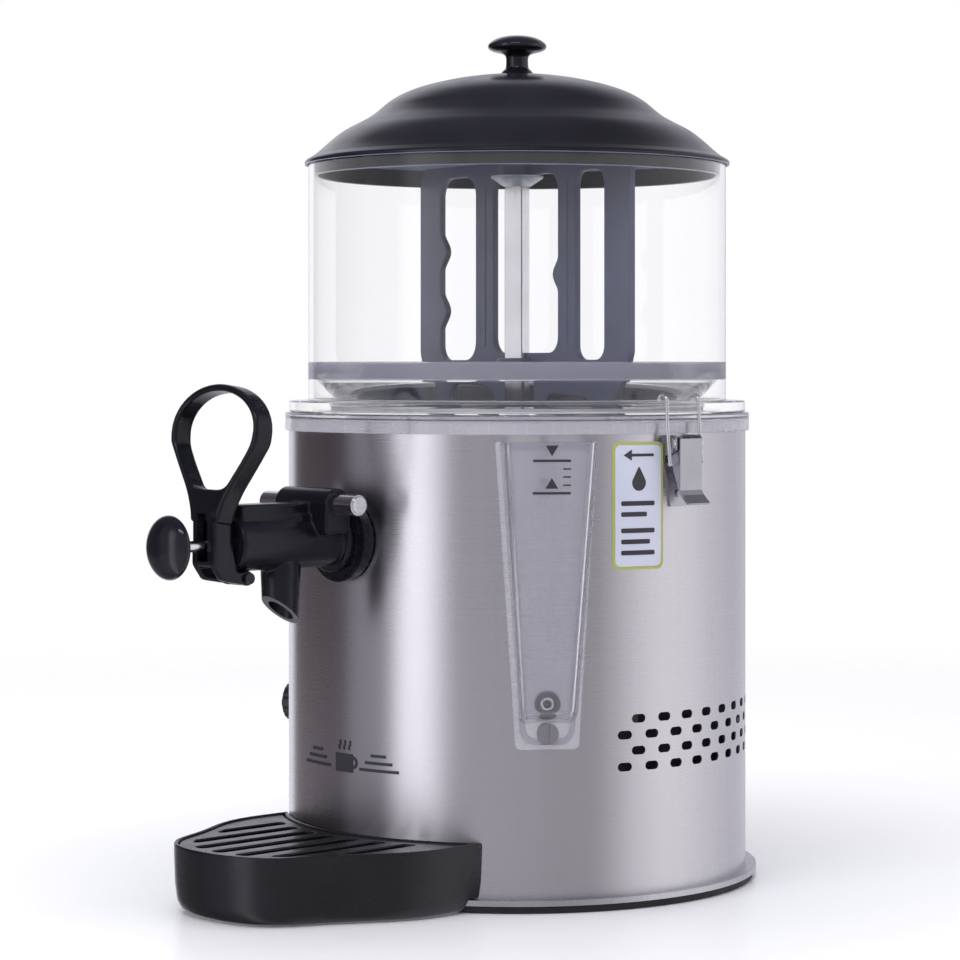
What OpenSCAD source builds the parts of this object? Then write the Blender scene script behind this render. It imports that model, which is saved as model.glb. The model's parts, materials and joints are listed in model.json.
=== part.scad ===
// Five litre heated drink dispenser: stainless water-jacket body, clear bowl
// with a slow stirrer, lift-off lid, piston tap and drip tray.
// Millimetres. +Z up, the tap points to -Y, the filling pocket is on the +X side.
// The origin is on the body axis at the resting plane of the foot ring.

/* [Body] */
// Outside radius of the steel casing
body_r = 130;
// [110:1:150]
// Height of the top edge of the casing
body_top = 258;
// [230:1:290]
// Sheet thickness of the casing
casing_t = 1;
// [0.8:0.1:2]
// Radius of the bottom flange
base_r = 136;
// [130:1:145]

/* [Bowl] */
// Outside radius of the clear bowl
bowl_r = 119;
// [100:1:125]
// Wall thickness of the bowl
bowl_t = 3;
// [2:0.5:4]
// Height of the bowl rim
bowl_top = 404;
// [370:1:440]

/* [Stirrer] */
// Resting angle of the paddle plate about the body axis
paddle_angle = -9;
// [-90:1:90]
// Half width of the paddle in the bowl
paddle_w = 104;
// [80:1:108]
// Thickness of the paddle plate
paddle_t = 4;
// [3:0.5:6]

/* [Tap] */
// Height of the tap axis
tap_z = 195;
// [185:1:205]
// Radius of the tap barrel
barrel_r = 14.3;
// [13:0.1:16]
// Radius of the piston bore
bore_r = 9.5;
// [8:0.1:11]
// Height of the handle pivot
pivot_z = 177.6;
// [176:0.1:178]

/* [Drip tray] */
// Height of the tray rim
tray_h = 36.5;
// [30:0.5:45]
// Wall thickness of the tray
tray_t = 2.5;
// [2:0.5:4]

/* [Hidden] */
$fn = 96;
tap_front = -210;
pivot_y = -204;
rod_y = -220.5;
gauge_a = -37;
knob_a = -156;
switch_a = -172;
latch_r_a = -2.5;
latch_l_a = 182.5;
pin_y = -152.5;
pin_z = 215;
e = 0.01;

// ---------------------------------------------------------------- helpers

// cylinder along X, centred
module xcyl(r, l) rotate([0, 90, 0]) cylinder(r = r, h = l, center = true);

// cylinder along -Y from y0 (rear) to y1 (front)
module ycyl(r, y0, y1, z = 0) translate([0, y0, z]) rotate([90, 0, 0])
  cylinder(r = r, h = y0 - y1);

// ring of rectangular section about Z
module ring(r1, r2, z0, z1) difference() {
  translate([0, 0, z0]) cylinder(r = r2, h = z1 - z0);
  translate([0, 0, z0 - 1]) cylinder(r = r1, h = z1 - z0 + 2);
}

// stadium slot cutter through the casing, angle a, height z
module slot(a, z, w, h) rotate([0, 0, a]) translate([body_r - 6, 0, z])
  rotate([90, 0, 90]) linear_extrude(12) union() {
    square([w - h, h], center = true);
    translate([(w - h) / 2, 0]) circle(h / 2, $fn = 24);
    translate([-(w - h) / 2, 0]) circle(h / 2, $fn = 24);
  }

// bank of staggered vents starting at angle a0, side s = 1 or -1
module vent_bank(s) {
  for (i = [0 : 9]) {
    slot(s > 0 ? -17.8 + 7.5 * i : 180 + 17.8 - 7.5 * i, 92, 8.5, 4.6);
    slot(s > 0 ? -17.8 + 7.5 * i : 180 + 17.8 - 7.5 * i, 75, 8.5, 4.6);
    slot(s > 0 ? -14.05 + 7.5 * i : 180 + 14.05 - 7.5 * i, 100.5, 8.5, 4.6);
    slot(s > 0 ? -14.05 + 7.5 * i : 180 + 14.05 - 7.5 * i, 83.5, 8.5, 4.6);
  }
}

// local frame: x out along the radius, y along the tangent, origin on the axis
module at_angle(a) rotate([0, 0, a]) children();

// thin curved skin of the casing, radii r1..r2
module skin(r1, r2, z0, z1) ring(r1, r2, z0, z1);

// ---------------------------------------------------------------- base

// soft ring the body stands on
module foot_ring() color("#1b1b1d") ring(122, 134, 0, 4);

// bottom plate with the visible flange, spigot and cooling holes
module base_plate() color("#c9c9cc") difference() {
  union() {
    translate([0, 0, 4]) cylinder(r = base_r, h = 3);
    ring(126.4, body_r - casing_t, 7 - e, 15);
  }
  for (a = [0 : 45 : 315]) rotate([0, 0, a + 22.5]) translate([85, 0, 0])
    cylinder(r = 6, h = 20, $fn = 32);
  for (a = [45 : 90 : 315]) rotate([0, 0, a]) translate([112, 0, 0])
    cylinder(r = 2.1, h = 20, $fn = 24);
  for (x = [-40, 40]) for (y = [-16, 16]) translate([x * 1.25, y, 0])
    cylinder(r = 2.1, h = 20, $fn = 24);
}

// four pan head screws with nuts through the bottom plate
module base_screws() color("#b5b5b8")
  for (a = [45 : 90 : 315]) rotate([0, 0, a]) translate([112, 0, 0]) {
    translate([0, 0, 1.8]) cylinder(r = 4, h = 2.2, $fn = 32);
    translate([0, 0, 3.5]) cylinder(r = 2.1, h = 8, $fn = 24);
    translate([0, 0, 7]) cylinder(r = 4, h = 3.2, $fn = 6);
  }

// rolled stainless casing with an inward top flange, vents and cut-outs
module casing() color("#c9c7cc") difference() {
  union() {
    ring(body_r - casing_t, body_r, 7, body_top);
    ring(114.5, body_r - casing_t + e, body_top - 1, body_top);
  }
  vent_bank(1);
  vent_bank(-1);
  ycyl(10.5, -120, -140, tap_z);
  at_angle(gauge_a) translate([120, 0, 110]) rotate([0, 90, 0])
    cylinder(r = 5, h = 20, $fn = 32);
  at_angle(gauge_a) translate([120, 0, 94.6]) rotate([0, 90, 0])
    cylinder(r = 2, h = 20, $fn = 24);
  at_angle(knob_a) translate([120, 0, 91.5]) rotate([0, 90, 0])
    cylinder(r = 5, h = 20, $fn = 32);
  at_angle(switch_a) translate([130, 0, 91.5]) cube([20, 19.2, 28.2], center = true);
  at_angle(90) translate([130, 0, 32]) cube([20, 16.1, 16.1], center = true);
}

// ---------------------------------------------------------------- wet parts

// steel water jacket tank hung from the casing flange
module water_tank() color("#b9b9bd") difference() {
  union() {
    translate([0, 0, 105]) cylinder(r = 112, h = 154.2);
    translate([0, 0, 258]) cylinder(r = 128.5, h = 1.2);
  }
  translate([0, 0, 106]) cylinder(r = 111, h = 160);
  translate([0, 0, 100]) cylinder(r = 7.1, h = 10);
  for (y = [-7, 7]) translate([-79.7, y, 100]) cylinder(r = 4, h = 10, $fn = 24);
  ycyl(9.5, -100, -120, tap_z);
  at_angle(gauge_a) translate([100, 0, 110]) rotate([0, 90, 0])
    cylinder(r = 3.5, h = 20, $fn = 32);
}

// ring heater lying on the tank floor with its two terminals
module heating_element() color("#8d8a86") {
  translate([0, 0, 113]) rotate([0, 0, 190]) rotate_extrude(angle = 340)
    translate([80, 0]) circle(4, $fn = 24);
  for (y = [-7, 7]) translate([-79.7, y, 90]) cylinder(r = 3.8, h = 24, $fn = 24);
}

// safety cut-out clipped under the tank floor
module safety_thermostat() color("#d8d2c4") translate([50, 40, 0]) {
  translate([0, 0, 99]) cylinder(r = 8, h = 6, $fn = 48);
  translate([0, 0, 92]) cylinder(r = 6.5, h = 7.2, $fn = 48);
  for (x = [-4, 4]) translate([x, 0, 89]) cube([0.8, 6, 7], center = true);
}

// inner pot, joined to the bowl foot and welded to the centre tube
module inner_pot() color("#c4c4c8") difference() {
  union() {
    translate([0, 0, 178]) cylinder(r = 94, h = 85);
    translate([0, 0, 262.5]) cylinder(r = 107, h = 1.2);
  }
  translate([0, 0, 179]) cylinder(r = 93, h = 90);
  translate([0, 0, 170]) cylinder(r = 7.1, h = 20);
  ycyl(9.5, -80, -110, tap_z);
}

// outlet stub from the pot to the tap
module outlet_tube() color("#bdbdc2") difference() {
  ycyl(9.4, -91.5, -151.9, tap_z);
  ycyl(7.5, -60, -160, tap_z);
  translate([0, 0, 170]) cylinder(r = 92.6, h = 60);
}

// steel centre tube standing through tank and pot
module center_tube() color("#c8c8cc") difference() {
  union() {
    translate([0, 0, 100]) cylinder(r = 7.1, h = 290.7);
    translate([0, 0, 102]) cylinder(r = 15, h = 3);
  }
  translate([0, 0, 90]) cylinder(r = 6.1, h = 310);
}

// ---------------------------------------------------------------- drive

// geared motor hanging below its bracket
module gearmotor() color("#7d7f83") difference() {
  union() {
    translate([0, 0, 60]) cylinder(r = 30, h = 27);
    translate([0, 0, 28]) cylinder(r = 22, h = 32.5);
    translate([0, 0, 22]) cylinder(r = 8, h = 7);
    for (a = [0 : 90 : 270]) rotate([0, 0, a + 45]) translate([27, 0, 60])
      cylinder(r = 5, h = 27, $fn = 32);
  }
  translate([0, 0, 70]) cylinder(r = 4.06, h = 30);
}

// folded bracket carrying the motor over the bottom plate
module motor_bracket() color("#a9abae") difference() {
  union() {
    translate([-45, -28, 87]) cube([90, 56, 2]);
    for (s = [-1, 1]) {
      translate([s > 0 ? 43 : -45, -28, 7]) cube([2, 56, 81]);
      translate([s > 0 ? 43 : -57, -28, 7]) cube([14, 56, 2]);
    }
  }
  translate([0, 0, 80]) cylinder(r = 7, h = 20);
  for (s = [-1, 1]) for (y = [-16, 16]) translate([s * 50, y, 0])
    cylinder(r = 2.1, h = 20, $fn = 24);
  for (s = [-1, 1]) translate([s * 44, 0, 45]) rotate([0, 90, 0])
    cylinder(r = 16, h = 10, center = true);
}

// drive shaft inside the centre tube
module drive_shaft() color("#d0d0d4") {
  translate([0, 0, 72]) cylinder(r = 4, h = 334);
  translate([0, 0, 90.5]) cylinder(r = 7, h = 8);
}

// plain bushes at the two ends of the tube
module shaft_bushes() color("#d9d2bd") {
  ring(4.06, 6.1, 376, 390.4);
  ring(4.06, 6.1, 100.5, 112);
}

// ---------------------------------------------------------------- bowl

// clear collar closing the water jacket over the casing edge
module top_collar() color("#e4e4ee", 0.45) difference() {
  translate([0, 0, 252.3]) cylinder(r = 132, h = 10.2);
  translate([0, 0, 252.3 - e]) cylinder(r = body_r, h = 6.9 + e);
  translate([0, 0, 250]) cylinder(r = 98, h = 20);
}

// soft ring between pot flange and bowl foot
module bowl_gasket() color("#b8b8b4") ring(97, 106, 263.7, 265.5);

// clear bowl: skirt, ledge, funnel and clamping flange in one moulding
module bowl() color("#e8e8f4", 0.3) rotate_extrude($fn = 180) polygon([
  [116.5, 262.5], [129, 262.5], [129.7, 263.2], [129.7, 268.3], [129, 269],
  [bowl_r, 269], [bowl_r, bowl_top], [bowl_r - bowl_t, bowl_top],
  [bowl_r - bowl_t, 290.2], [111.4, 280.5], [98.3, 269], [95.5, 265.5],
  [107, 265.5], [107, 268.2], [102.5, 268.2], [115.2, 281.7], [116.5, 281.7]]);

// translucent drive cone under the paddle bridge
module stirrer_hub() color("#b9bcc4", 0.7) difference() {
  union() {
    translate([0, 0, 391]) cylinder(r1 = 8, r2 = 15, h = 4.7);
    translate([0, 0, 395.7]) cylinder(r = 15, h = 1.2);
  }
  translate([0, 0, 380]) cylinder(r = 4, h = 30);
}

// outline helpers of the paddle in its own plane (u across, z up)
module win(u0, u1, z0, z1, r) union() {
  translate([u0 + r, z0]) square([u1 - u0 - 2 * r, z1 - z0]);
  translate([u0, z0 + r]) square([u1 - u0, z1 - z0 - 2 * r]);
  for (u = [u0 + r, u1 - r]) for (z = [z0 + r, z1 - r])
    translate([u, z]) circle(r, $fn = 48);
}

module paddle_2d() {
  difference() {
    polygon([[-paddle_w, 296], [-paddle_w + 2, 290], [-99, 281.7], [-89, 269],
      [-88, 262], [-88, 196], [-80, 188], [80, 188], [88, 196], [88, 262],
      [89, 269], [99, 281.7], [paddle_w - 2, 290], [paddle_w, 296],
      [paddle_w, 400], [paddle_w - 6, 406], [-paddle_w + 6, 406],
      [-paddle_w, 400]]);
    win(-81.4, -44.5, 292, 399, 11);
    win(-26, 37.3, 296, 397, 9);
    win(54.4, 80.5, 292, 397, 8);
    win(-14, 14, 240, 281, 4);
    win(-14, 14, 194, 234, 4);
    win(-72, -24, 200, 268, 10);
    win(24, 72, 200, 268, 10);
  }
  intersection() {
    union() {
      translate([-84.5, 356]) circle(9, $fn = 64);
      translate([-84.5, 321]) circle(9, $fn = 64);
    }
    translate([-92, 300]) square([20, 80]);
  }
  intersection() {
    translate([40.5, 340]) circle(8, $fn = 64);
    translate([30, 320]) square([16, 40]);
  }
}

// flat stirring and scraping frame with guide sleeves round the tube
module stirrer_paddle() color("#4a4c5c") rotate([0, 0, paddle_angle]) difference() {
  union() {
    translate([0, 3.3 + paddle_t / 2, 0]) rotate([90, 0, 0])
      linear_extrude(paddle_t) paddle_2d();
    translate([0, 0, 397]) cylinder(r = 10, h = 9);
    translate([0, 0, 281]) cylinder(r = 11.5, h = 12);
    translate([0, 0, 188]) cylinder(r = 11.5, h = 6);
    translate([0, 0, 234]) cylinder(r = 11.5, h = 6);
  }
  translate([0, 0, 180]) cylinder(r = 7.6, h = 216);
  translate([0, 0, 390]) cylinder(r = 4, h = 30);
}

// cap nut holding the paddle on the shaft
module paddle_nut() color("#cfcfd2") {
  difference() {
    translate([0, 0, 406]) cylinder(r = 7.5, h = 5, $fn = 6);
    translate([0, 0, 405]) cylinder(r = 4, h = 5);
  }
  translate([0, 0, 411 - e]) cylinder(r = 5.5, h = 1.5, $fn = 48);
}

// ---------------------------------------------------------------- lid

// domed lid with a locating lip inside the bowl
module lid() color("#22212a") rotate_extrude($fn = 180) polygon([
  [3.05, 455], [6.3, 454.8], [20, 453.9], [30, 452.6], [37.7, 451.3],
  [48, 449], [56.5, 446.6], [63.5, 444], [69.1, 441.2], [74.5, 437.6],
  [79.4, 433.4], [84.5, 429.6], [91.6, 425.7], [97, 422.9], [101.5, 420],
  [106.5, 416], [112.5, 410.6], [116.5, 407.4], [120, 405.4], [121, 404.4],
  [121, 402.6], [119.5, 402.6], [119.5, 404], [115.5, 404], [115.5, 396],
  [113.5, 396], [113.5, 406.2], [111, 408.4], [105, 413.8], [99.8, 418],
  [90.3, 423.3], [83.2, 427.2], [78, 431.3], [73, 435.6], [67.8, 439],
  [62.5, 441.6], [55.8, 444.1], [47.5, 446.5], [37.3, 448.8], [29.7, 450.1],
  [19.7, 451.4], [3.05, 452.4]]);

// mushroom knob of the lid
module lid_knob() color("#1b1a20") rotate_extrude($fn = 96) polygon([
  [0, 455.05], [9.5, 455.05], [8.6, 456.6], [6.9, 458], [6.4, 460], [6.4, 464.2],
  [7.4, 466], [9.5, 467], [14, 468], [16.2, 469.2], [16.8, 470.8],
  [16.2, 472.3], [14, 474.1], [10.5, 475.7], [6, 476.7], [2, 477], [0, 477]]);

// screw clamping the knob from inside the lid
module lid_screw() color("#c5c5c8") {
  translate([0, 0, 450]) cylinder(r = 5.5, h = 2.1, $fn = 48);
  translate([0, 0, 452]) cylinder(r = 2.95, h = 3, $fn = 32);
}

// ---------------------------------------------------------------- water gauge

// face outline of the pocket, grown by g
module gauge_face(g) polygon([[-17 - g, 86 - g], [17 + g, 86 - g],
  [17 + g, 92.5], [27.5 + g, 248.4], [-27.5 - g, 248.4], [-17 - g, 92.5]]);

// clear filling pocket with an open hopper mouth
module water_gauge() color("#e6e6ee", 0.45) at_angle(gauge_a) difference() {
  union() {
    // moulded pocket
    intersection() {
      translate([120, 0, 0]) rotate([90, 0, 90]) linear_extrude(40) gauge_face(-2.5);
      translate([0, 40, 0]) rotate([90, 0, 0]) linear_extrude(80) polygon([
        [120, 90], [133, 90], [133, 101], [140, 105], [150, 248.4], [120, 248.4]]);
    }
    // flange lying on the casing
    intersection() {
      translate([120, 0, 0]) rotate([90, 0, 90]) linear_extrude(40) gauge_face(0);
      translate([0, 0, 80]) cylinder(r = body_r + 1.4, h = 180);
    }
  }
  // water space, open at the top
  intersection() {
    translate([120, 0, 0]) rotate([90, 0, 90]) linear_extrude(40) gauge_face(-4.7);
    translate([0, 40, 0]) rotate([90, 0, 0]) linear_extrude(80) polygon([
      [129, 102.6], [133.2, 102.9], [137.8, 106.5], [147.8, 250], [129, 250]]);
  }
  intersection() {
    translate([120, -40, 230]) cube([40, 80, 30]);
    translate([120, 0, 0]) rotate([90, 0, 90]) linear_extrude(40)
      polygon([[-21.5, 104], [21.5, 104], [22.8, 250], [-22.8, 250]]);
    translate([0, 40, 0]) rotate([90, 0, 0]) linear_extrude(80) polygon([
      [129, 102.6], [133.2, 102.9], [137.8, 106.5], [147.8, 250], [129, 250]]);
  }
  translate([0, 0, 70]) cylinder(r = body_r + 0.05, h = 200);
  translate([120, 0, 94.6]) rotate([0, 90, 0]) cylinder(r = 2.1, h = 30, $fn = 24);
}

// rubber ring round the water port
module gauge_gasket() color("#6c6c70") at_angle(gauge_a) difference() {
  translate([120, 0, 110]) rotate([0, 90, 0]) cylinder(r = 6.8, h = 12.2, $fn = 48);
  translate([0, 0, 90]) cylinder(r = body_r + 0.1, h = 40);
  translate([110, 0, 110]) rotate([0, 90, 0]) cylinder(r = 4, h = 40, $fn = 48);
}

// slotted screw holding the foot of the pocket
module gauge_screw() color("#bfbfc2") at_angle(gauge_a) difference() {
  union() {
    translate([133, 0, 94.6]) rotate([0, 90, 0]) cylinder(r = 5.6, h = 2.2, $fn = 48);
    translate([122, 0, 94.6]) rotate([0, 90, 0]) cylinder(r = 2, h = 11.2, $fn = 24);
  }
  translate([135.2, 0, 94.6]) cube([1.8, 1.3, 14], center = true);
}

// two level lines and pointers on the pocket face
module gauge_marks() color("#3a3a44") at_angle(gauge_a) intersection() {
  translate([0, 40, 0]) rotate([90, 0, 0]) linear_extrude(80) polygon([
    [140.02, 105], [140.32, 105], [150.32, 248.4], [150.02, 248.4]]);
  translate([120, 0, 0]) rotate([90, 0, 90]) linear_extrude(40) {
    translate([0, 239]) square([20, 1.3], center = true);
    translate([0, 222]) square([20, 1.3], center = true);
    polygon([[-3.4, 247], [3.4, 247], [0, 241.4]]);
    polygon([[-3.4, 224.4], [3.4, 224.4], [0, 230]]);
    for (z = [226.2, 230.5, 234.7]) translate([8, z]) square([4, 0.8], center = true);
  }
}

// water line from the pocket to the tank
module gauge_tube() color("#b9b9bd") at_angle(gauge_a) difference() {
  translate([110.9, 0, 110]) rotate([0, 90, 0]) cylinder(r = 3.5, h = 19.6, $fn = 32);
  translate([100, 0, 110]) rotate([0, 90, 0]) cylinder(r = 2.5, h = 40, $fn = 32);
  translate([0, 0, 90]) cylinder(r = 111.2, h = 40);
}

// ---------------------------------------------------------------- markings

// printed instruction plate with a coloured border
module label() color("#b8bf72") at_angle(-14.1) intersection() {
  ring(body_r, body_r + 0.3, 175, 253);
  translate([120, 0, 214]) rotate([90, 0, 90]) linear_extrude(20) win(-16, 16, -34, 34, 4);
}

// white panel, arrow, drop and line pattern of the plate
module label_print() color("#d3d5e2") at_angle(-14.1) intersection() {
  ring(body_r + 0.3, body_r + 0.5, 175, 253);
  translate([120, 0, 214]) rotate([90, 0, 90]) linear_extrude(20)
    win(-14.3, 14.3, -32.3, 32.3, 3);
}

// steaming cup badge under the tap
module emblem() color("#2a2930") intersection() {
  ring(body_r, body_r + 0.3, 60, 95);
  translate([0, -120, 78]) rotate([90, 0, 0]) linear_extrude(20) union() {
    difference() {
      translate([-7, -9]) square([14, 10]);
      translate([-8, -12]) rotate(45) square([5, 5], center = true);
      translate([8, -12]) rotate(45) square([5, 5], center = true);
    }
    difference() {
      translate([7, -3.5]) circle(3.4, $fn = 48);
      translate([7, -3.5]) circle(1.9, $fn = 48);
    }
    for (x = [-4, 0, 4]) translate([x, 3]) {
      translate([-0.6, 0]) square([1.2, 2.6]);
      translate([0.2, 2.4]) square([1.2, 2.8]);
    }
    for (s = [-1, 1]) {
      translate([s * 25, -6.5]) square([26, 1.6], center = true);
      translate([s * 25, -2.6]) square([18, 1.6], center = true);
      translate([s * 25, 1.3]) square([10, 1.6], center = true);
    }
  }
}

// ---------------------------------------------------------------- latches

latch_px = 136.5;
latch_pz = 247;
bail_px = 137;
bail_pz = 236;

// riveted bracket with two ears
module latch_base() color("#b4b4b8") difference() {
  union() {
    intersection() {
      ring(body_r, body_r + 1.2, 212, 252);
      translate([120, 0, 0]) rotate([90, 0, 90]) linear_extrude(20)
        polygon([[-6, 213], [6, 213], [9.9, 238], [9.9, 251.5], [-9.9, 251.5], [-9.9, 238]]);
    }
    for (s = [-1, 1]) difference() {
      translate([0, s > 0 ? 9.9 : -8.7, 0]) rotate([90, 0, 0]) linear_extrude(1.2)
        polygon([[130, 240.5], [133.5, 240.5], [139.4, 243.5], [139.4, 250],
          [137.5, 251.5], [130, 251.5]]);
      translate([0, 0, 230]) cylinder(r = body_r + 0.5, h = 30);
    }
    for (z = [220, 229]) translate([130.6, 0, z]) rotate([0, 90, 0])
      cylinder(r = 2.2, h = 1.4, $fn = 32);
  }
  translate([latch_px, 0, latch_pz]) rotate([90, 0, 0])
    cylinder(r = 2, h = 40, center = true, $fn = 32);
}

// axle of the lever
module latch_pin() color("#c8c8cc") translate([latch_px, 0, latch_pz]) rotate([90, 0, 0]) {
  cylinder(r = 2, h = 19.8, center = true, $fn = 32);
  for (s = [-1, 1]) translate([0, 0, s * 10.3]) cylinder(r = 2.8, h = 0.8, center = true, $fn = 32);
}

// folded operating lever
module latch_lever() color("#b9b9be") difference() {
  union() {
    for (s = [-1, 1]) translate([0, s > 0 ? 8.1 : -6.9, 0]) rotate([90, 0, 0])
      linear_extrude(1.2) polygon([[134.2, 250], [140, 250.4], [140.8, 249.6],
        [140.8, 224], [139.6, 222], [135.4, 232], [133.4, 240]]);
    translate([0, 8.1, 0]) rotate([90, 0, 0]) linear_extrude(16.2)
      polygon([[139.6, 249], [140.8, 249.6], [140.8, 222], [142.4, 219.5],
        [147, 215.2], [146.2, 214.2], [141.4, 218.6], [139.6, 221.6]]);
  }
  translate([latch_px, 0, latch_pz]) rotate([90, 0, 0])
    cylinder(r = 2.05, h = 40, center = true, $fn = 32);
  translate([bail_px, 0, bail_pz]) rotate([90, 0, 0])
    cylinder(r = 1.06, h = 40, center = true, $fn = 32);
}

// wire bail with two hooks over the bowl flange
module latch_bail() color("#c6c6ca") {
  translate([bail_px, 0, bail_pz]) rotate([90, 0, 0])
    cylinder(r = 1, h = 24, center = true, $fn = 24);
  for (s = [-1, 1]) translate([0, s * 12, 0]) {
    translate([bail_px, 0, bail_pz]) sphere(r = 1.25, $fn = 32);
    translate([bail_px, 0, bail_pz]) rotate([0, -atan2(2.5, 24), 0])
      cylinder(r = 1, h = sqrt(2.5 * 2.5 + 24 * 24), $fn = 24);
    translate([134.5, 0, 260]) sphere(r = 1.08, $fn = 32);
    translate([134.5, 0, 260]) cylinder(r = 1, h = 9.6, $fn = 24);
    translate([131.4, 0, 269.6]) rotate([90, 0, 0]) rotate_extrude(angle = 180, $fn = 48)
      translate([3.1, 0]) circle(1, $fn = 24);
    translate([128.3, 0, 269.15]) cylinder(r = 1, h = 0.45, $fn = 24);
  }
}

module right_latch_base() at_angle(latch_r_a) latch_base();
module right_latch_pin() at_angle(latch_r_a) latch_pin();
module right_latch_lever() at_angle(latch_r_a) latch_lever();
module right_latch_bail() at_angle(latch_r_a) latch_bail();
module left_latch_base() at_angle(latch_l_a) latch_base();
module left_latch_pin() at_angle(latch_l_a) latch_pin();
module left_latch_lever() at_angle(latch_l_a) latch_lever();
module left_latch_bail() at_angle(latch_l_a) latch_bail();

// ---------------------------------------------------------------- tap

// soft seal between flange and casing
module tap_gasket() color("#5a5a5c") difference() {
  ycyl(21, -120, -140, tap_z);
  translate([0, 0, 150]) cylinder(r = body_r, h = 90);
  difference() {
    translate([0, 0, 150]) cylinder(r = 160, h = 90);
    translate([0, 0, 149]) cylinder(r = body_r + 1, h = 92);
  }
  ycyl(9.5, -110, -150, tap_z);
}

// round seat of the tap
module tap_flange() color("#18181b") difference() {
  union() {
    ycyl(23, -120, -135.5, tap_z);
    ycyl(20.5, -135, -137, tap_z);
  }
  translate([0, 0, 150]) cylinder(r = body_r + 1, h = 90);
  ycyl(9.5, -110, -150, tap_z);
}

// barrel with spout, lock boss, top rail and pivot lug
module tap_body() color("#1a1a1d") difference() {
  union() {
    ycyl(barrel_r, -137, tap_front, tap_z);
    ycyl(17.5, -137, -142, tap_z);
    // top rail with a stepped front end
    translate([-7.5, -207, tap_z]) cube([15, 60, 21]);
    translate([-9.5, -170, tap_z]) cube([19, 30, 15]);
    // cross boss for the lock pin
    translate([0, pin_y, pin_z]) xcyl(8.6, 44);
    translate([-22, pin_y - 8.6, tap_z + 4]) cube([44, 17.2, 16]);
    // spout
    translate([0, -174.5, 148]) cylinder(r1 = 9.4, r2 = 11.2, h = 44);
    // pivot lug
    translate([-5, pivot_y - 3.9, pivot_z]) cube([10, 7.8, 10]);
    translate([0, pivot_y, pivot_z]) xcyl(3.9, 10);
  }
  // piston chamber and rear seat
  ycyl(9.5, -130, -152.02, tap_z);
  ycyl(bore_r, -152, -206, tap_z);
  ycyl(3.05, -200, -215, tap_z);
  // spout channel and slanted mouth
  translate([0, -174.5, 140]) cylinder(r = 6.5, h = 55);
  translate([-20, 0, 0]) rotate([90, 0, 90]) linear_extrude(40)
    polygon([[-190, 171], [-160, 147.5], [-160, 130], [-195, 130]]);
  // lock pin bore and pivot bore
  translate([0, pin_y, pin_z]) xcyl(5.65, 60);
  translate([0, pivot_y, pivot_z]) xcyl(2, 30);
}

// valve piston
module tap_piston() color("#e2ded2") difference() {
  ycyl(bore_r - 0.1, -164, -186, tap_z);
  for (y = [-166.6, -183.4]) translate([0, y, tap_z]) rotate([90, 0, 0])
    rotate_extrude() translate([8.4, 0]) circle(1.12, $fn = 24);
  ycyl(3, -180, -190, tap_z);
}

// seals in the piston grooves
module piston_orings() color("#2c2c2e")
  for (y = [-166.6, -183.4]) translate([0, y, tap_z]) rotate([90, 0, 0])
    rotate_extrude() translate([8.4, 0]) circle(1.05, $fn = 24);

// steel rod from piston to knob
module tap_rod() color("#c9c9cd") ycyl(3, -180, -250, tap_z);

// cross pin worked by the handle
module rod_pin() color("#c9c9cd") difference() {
  translate([0, rod_y, tap_z]) xcyl(1.5, 14);
  ycyl(3, -210, -240, tap_z);
}

// return spring between piston and barrel nose
module tap_spring() color("#b5b5b9") {
  for (i = [0 : 5]) translate([0, -187 - 3.6 * i, tap_z]) rotate([90, 0, 0])
    rotate_extrude($fn = 48) translate([6.2, 0]) circle(0.8, $fn = 16);
  for (x = [-6.2, 6.2]) translate([x, 0, 0]) ycyl(0.5, -187, -205, tap_z);
}

// loop handle with forked stem
module tap_handle() color("#19191c") difference() {
  union() {
    // stem
    translate([-9.5, -227, 184]) cube([19, 13, 31]);
    // fork ears
    for (s = [-1, 1]) translate([s > 0 ? 5.3 : -9.3, 0, 0]) {
      rotate([90, 0, 90]) linear_extrude(4) union() {
        polygon([[-204, 174.2], [-221, 177], [-226.9, 185], [-226.9, 195], [-214.1, 195],
          [-211.5, 184], [-210.8, 180.9], [-204, 180.9]]);
        translate([pivot_y, pivot_z]) circle(3.9, $fn = 48);
      }
    }
    // teardrop loop leaning back
    translate([0, -214, 214]) rotate([-8, 0, 0]) translate([0, 0, -214])
      rotate([90, 0, 0]) linear_extrude(12) difference() {
        polygon(concat([for (a = [0 : 5 : 180]) [36 * cos(a), 253.5 + 25 * sin(a)]],
          [[-35.2, 247.5], [-31, 241], [-24.6, 232], [-17.5, 222], [-13, 213], [-11, 206],
           [11, 206], [13, 213], [17.5, 222], [24.6, 232], [31, 241], [35.2, 247.5]]));
        polygon(concat([for (a = [0 : 5 : 180]) [32 * cos(a), 254 + 20.5 * sin(a)]],
          [[-30.9, 247.5], [-26.4, 240], [-19.6, 231], [-14.8, 225], [-11.5, 223.2],
           [11.5, 223.2], [14.8, 225], [19.6, 231], [26.4, 240], [30.9, 247.5]]));
      }
  }
  translate([0, pivot_y, pivot_z]) xcyl(2.06, 40);
  // clearance for the rod as the stem swings
  translate([-4.2, -240, 187]) cube([8.4, 30, 25]);
  // slots for the cross pin, closed at the sides
  translate([-7.4, rod_y - 2.35, tap_z - 1.9]) cube([14.8, 4.7, 15]);
}

// axle of the handle
module handle_pin() color("#c9c9cd") translate([0, pivot_y, pivot_z]) {
  xcyl(2, 20);
  for (s = [-1, 1]) translate([s * 10.6, 0, 0]) xcyl(3, 1.2);
}

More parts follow.
